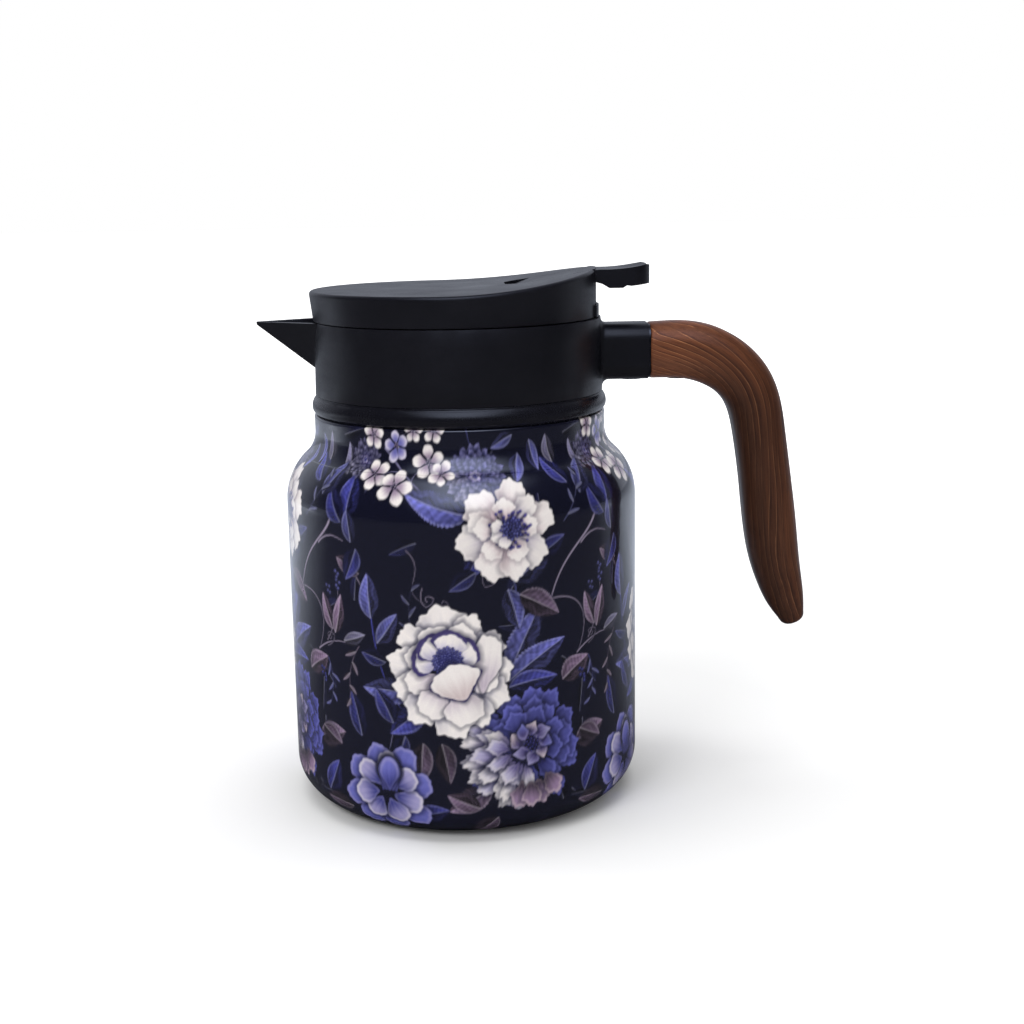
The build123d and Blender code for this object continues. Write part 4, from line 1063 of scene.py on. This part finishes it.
def make_spring():
    """Closed coil spring whose end turns lie flat."""
    turns, wire, radius, low, high = 5.0, 0.5, 6.5, 141.55, 157.45
    around, steps = 10, 72
    points = []
    count = int(turns * steps) + 1
    for k in range(count):
        a = 2 * math.pi * k / steps
        share = k / (count - 1)
        # The end half turns rise less than the rest
        rise = share - math.sin(4 * math.pi * share) / (4 * math.pi) * 0.12
        out = (math.cos(a), math.sin(a))
        for b in np.linspace(0, -2 * math.pi, around, endpoint=False):
            reach = radius + wire * math.cos(b)
            points.append((reach * out[0], reach * out[1], low + (high - low) * rise + wire * math.sin(b)))
    faces = swept_faces(count, around)
    spring = make_object("return_spring", points, faces, "lid", "valve_spring")
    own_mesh(spring)


make_shell()
make_grip()
make_spring()

# ---- Carried-over CAD nodes ----

SOFT_EDGES = {"collar": 0.45, "trim_ring": 0.3}
# Broad curved faces are smoothest with the shading that comes with their CAD mesh
OWN_SHADING = {"lid_cover", "thumb_lever"}
for name, node in NODES.items():
    node.data.materials.clear()
    node.data.materials.append(SPECIAL.get(name) or FINISHES[SLOTS[name]])
    if name in OWN_SHADING:
        continue
    node.modifiers.new("weld", "WELD").merge_threshold = 1e-6
    if name in SOFT_EDGES:
        edge = node.modifiers.new("edges", "BEVEL")
        edge.width = SOFT_EDGES[name] * MM
        edge.segments = 3
        edge.limit_method = "ANGLE"
        edge.angle_limit = math.radians(35)
        edge.harden_normals = True


# ---- Floor, light and camera ----


def make_floor():
    """A pale sheet that runs out to the white behind the jug."""
    s = Shader("studio_sheet")
    pale = s.ramp(s.noise(s.place, 3.0, 3.0), (0.3, (0.86, 0.86, 0.86)), (0.7, (0.88, 0.88, 0.88)))
    ray = s.node("LightPath").outputs
    # Polished surfaces see a dim sheet in front of the jug, as if under black cards, and a lit one behind:
    # painted shade and painted light in the sheet's colour for reflected rays only
    behind = s.spread(s.split(s.place)["Y"], 0.02, 0.30, 0.0, 1.0)
    painted_reflection = s.ramp(behind, (0.0, (0.05, 0.05, 0.06)), (1.0, (0.42, 0.46, 0.54)))
    # Seen directly, the sheet glows more with distance: painted light that brightens it into the white
    # behind it
    far = s.node("VectorMath", operation="LENGTH")
    s.feed(far.inputs[0], s.place)
    glow = s.math("MULTIPLY", ray["Is Camera Ray"], s.spread(far.outputs["Value"], 0.15, 1.0, 0.0, 1.0))
    sheet = s.finish(
        Base_Color=s.mix(ray["Is Glossy Ray"], pale, painted_reflection),
        Roughness=0.9,
        Emission_Color=(1, 1, 1, 1),
        Emission_Strength=glow,
    )
    mesh = bpy.data.meshes.new("studio_floor")
    mesh.from_pydata([(-6, -3, 0), (6, -3, 0), (6, 9, 0), (-6, 9, 0)], [], [(0, 1, 2, 3)])
    mesh.materials.append(sheet)
    floor = bpy.data.objects.new("studio_floor", mesh)
    bpy.context.scene.collection.objects.link(floor)


def add_light(name, place, aim, width, height, power):
    """A rectangular lamp that polished surfaces don't mirror: they see the soft room instead."""
    lamp = bpy.data.lights.new(name, "AREA")
    lamp.shape = "RECTANGLE"
    lamp.size, lamp.size_y, lamp.energy = width, height, power
    holder = bpy.data.objects.new(name, lamp)
    holder.location = place
    holder.rotation_euler = (Vector(aim) - Vector(place)).to_track_quat("-Z", "Y").to_euler()
    holder.visible_glossy = False
    bpy.context.scene.collection.objects.link(holder)


def set_world(soft_level, front_level, back_level, window_level):
    """White behind the jug. Its polished surfaces see a dim room with a bright wall far behind it and
    a soft bluish window high in front."""
    world = bpy.data.worlds.new("studio")
    world.use_nodes = True
    s = Nodes(world.node_tree)
    towards = s.split(s.node("TexCoord").outputs["Generated"])

    def eased(axis, low, high, start, end):
        return s.spread(towards[axis], low, high, start, end, interpolation_type="SMOOTHSTEP")

    wall = eased("Y", 0.10, 0.85, front_level, back_level)
    window = window_level
    for side in (
        ("Z", 0.25, 0.60, 0.0, 1.0),
        ("Z", 0.88, 1.00, 1.0, 0.0),
        ("Y", -0.30, 0.05, 1.0, 0.0),
        ("X", 0.10, 0.65, 1.0, 0.0),
        ("X", -0.60, -0.08, 0.0, 1.0),
    ):
        window = s.math("MULTIPLY", window, eased(*side))
    room = s.mix(1.0, s.dimmed((0.88, 0.94, 1.10), wall), s.dimmed((0.85, 0.95, 1.25), window), "ADD")
    ray = s.node("LightPath").outputs
    seen = s.mix(ray["Is Glossy Ray"], (soft_level, soft_level, soft_level), room)
    seen = s.mix(ray["Is Camera Ray"], seen, (1.0, 1.0, 1.0))
    s.feed(world.node_tree.nodes["Background"].inputs["Color"], seen)
    bpy.context.scene.world = world


def set_camera(place, pan, tilt, roll, lens):
    """The camera stands in front of the jug, a little above its lid, turned slightly down."""
    ahead = Vector((math.sin(pan) * math.cos(tilt), math.cos(pan) * math.cos(tilt), -math.sin(tilt)))
    level = Vector((math.cos(pan), -math.sin(pan), 0.0))
    above = level.cross(ahead)
    right = level * math.cos(roll) + above * math.sin(roll)
    up = above * math.cos(roll) - level * math.sin(roll)
    data = bpy.data.cameras.new("camera")
    data.lens, data.sensor_width = lens, 36.0
    data.clip_start, data.clip_end = 0.01, 50.0
    camera = bpy.data.objects.new("camera", data)
    camera.matrix_world = Matrix.Translation(place) @ Matrix((right, up, -ahead)).transposed().to_4x4()
    bpy.context.scene.collection.objects.link(camera)
    bpy.context.scene.camera = camera


make_floor()
set_world(soft_level=0.5, front_level=0.02, back_level=0.50, window_level=2.2)
for name, place, aim, width, height, power in (
    ("key", (-0.7, -0.9, 1.1), (0, 0, 0.10), 0.7, 0.5, 8.0),
    ("top", (0.0, 0.1, 1.5), (0, 0, 0.10), 1.4, 0.9, 15.0),
    ("left", (-0.85, 0.40, 0.30), (0, 0, 0.13), 0.30, 0.7, 2.2),
    ("right", (0.95, 0.25, 0.30), (0, 0, 0.10), 0.40, 0.7, 1.6),
):
    add_light(name, place, aim, width, height, power)
set_camera((0.0, -0.5258, 0.2060), pan=0.033, tilt=0.205, roll=-0.016, lens=54.2)
bpy.context.scene.view_settings.view_transform = "Standard"
bpy.context.scene.view_settings.look = "None"
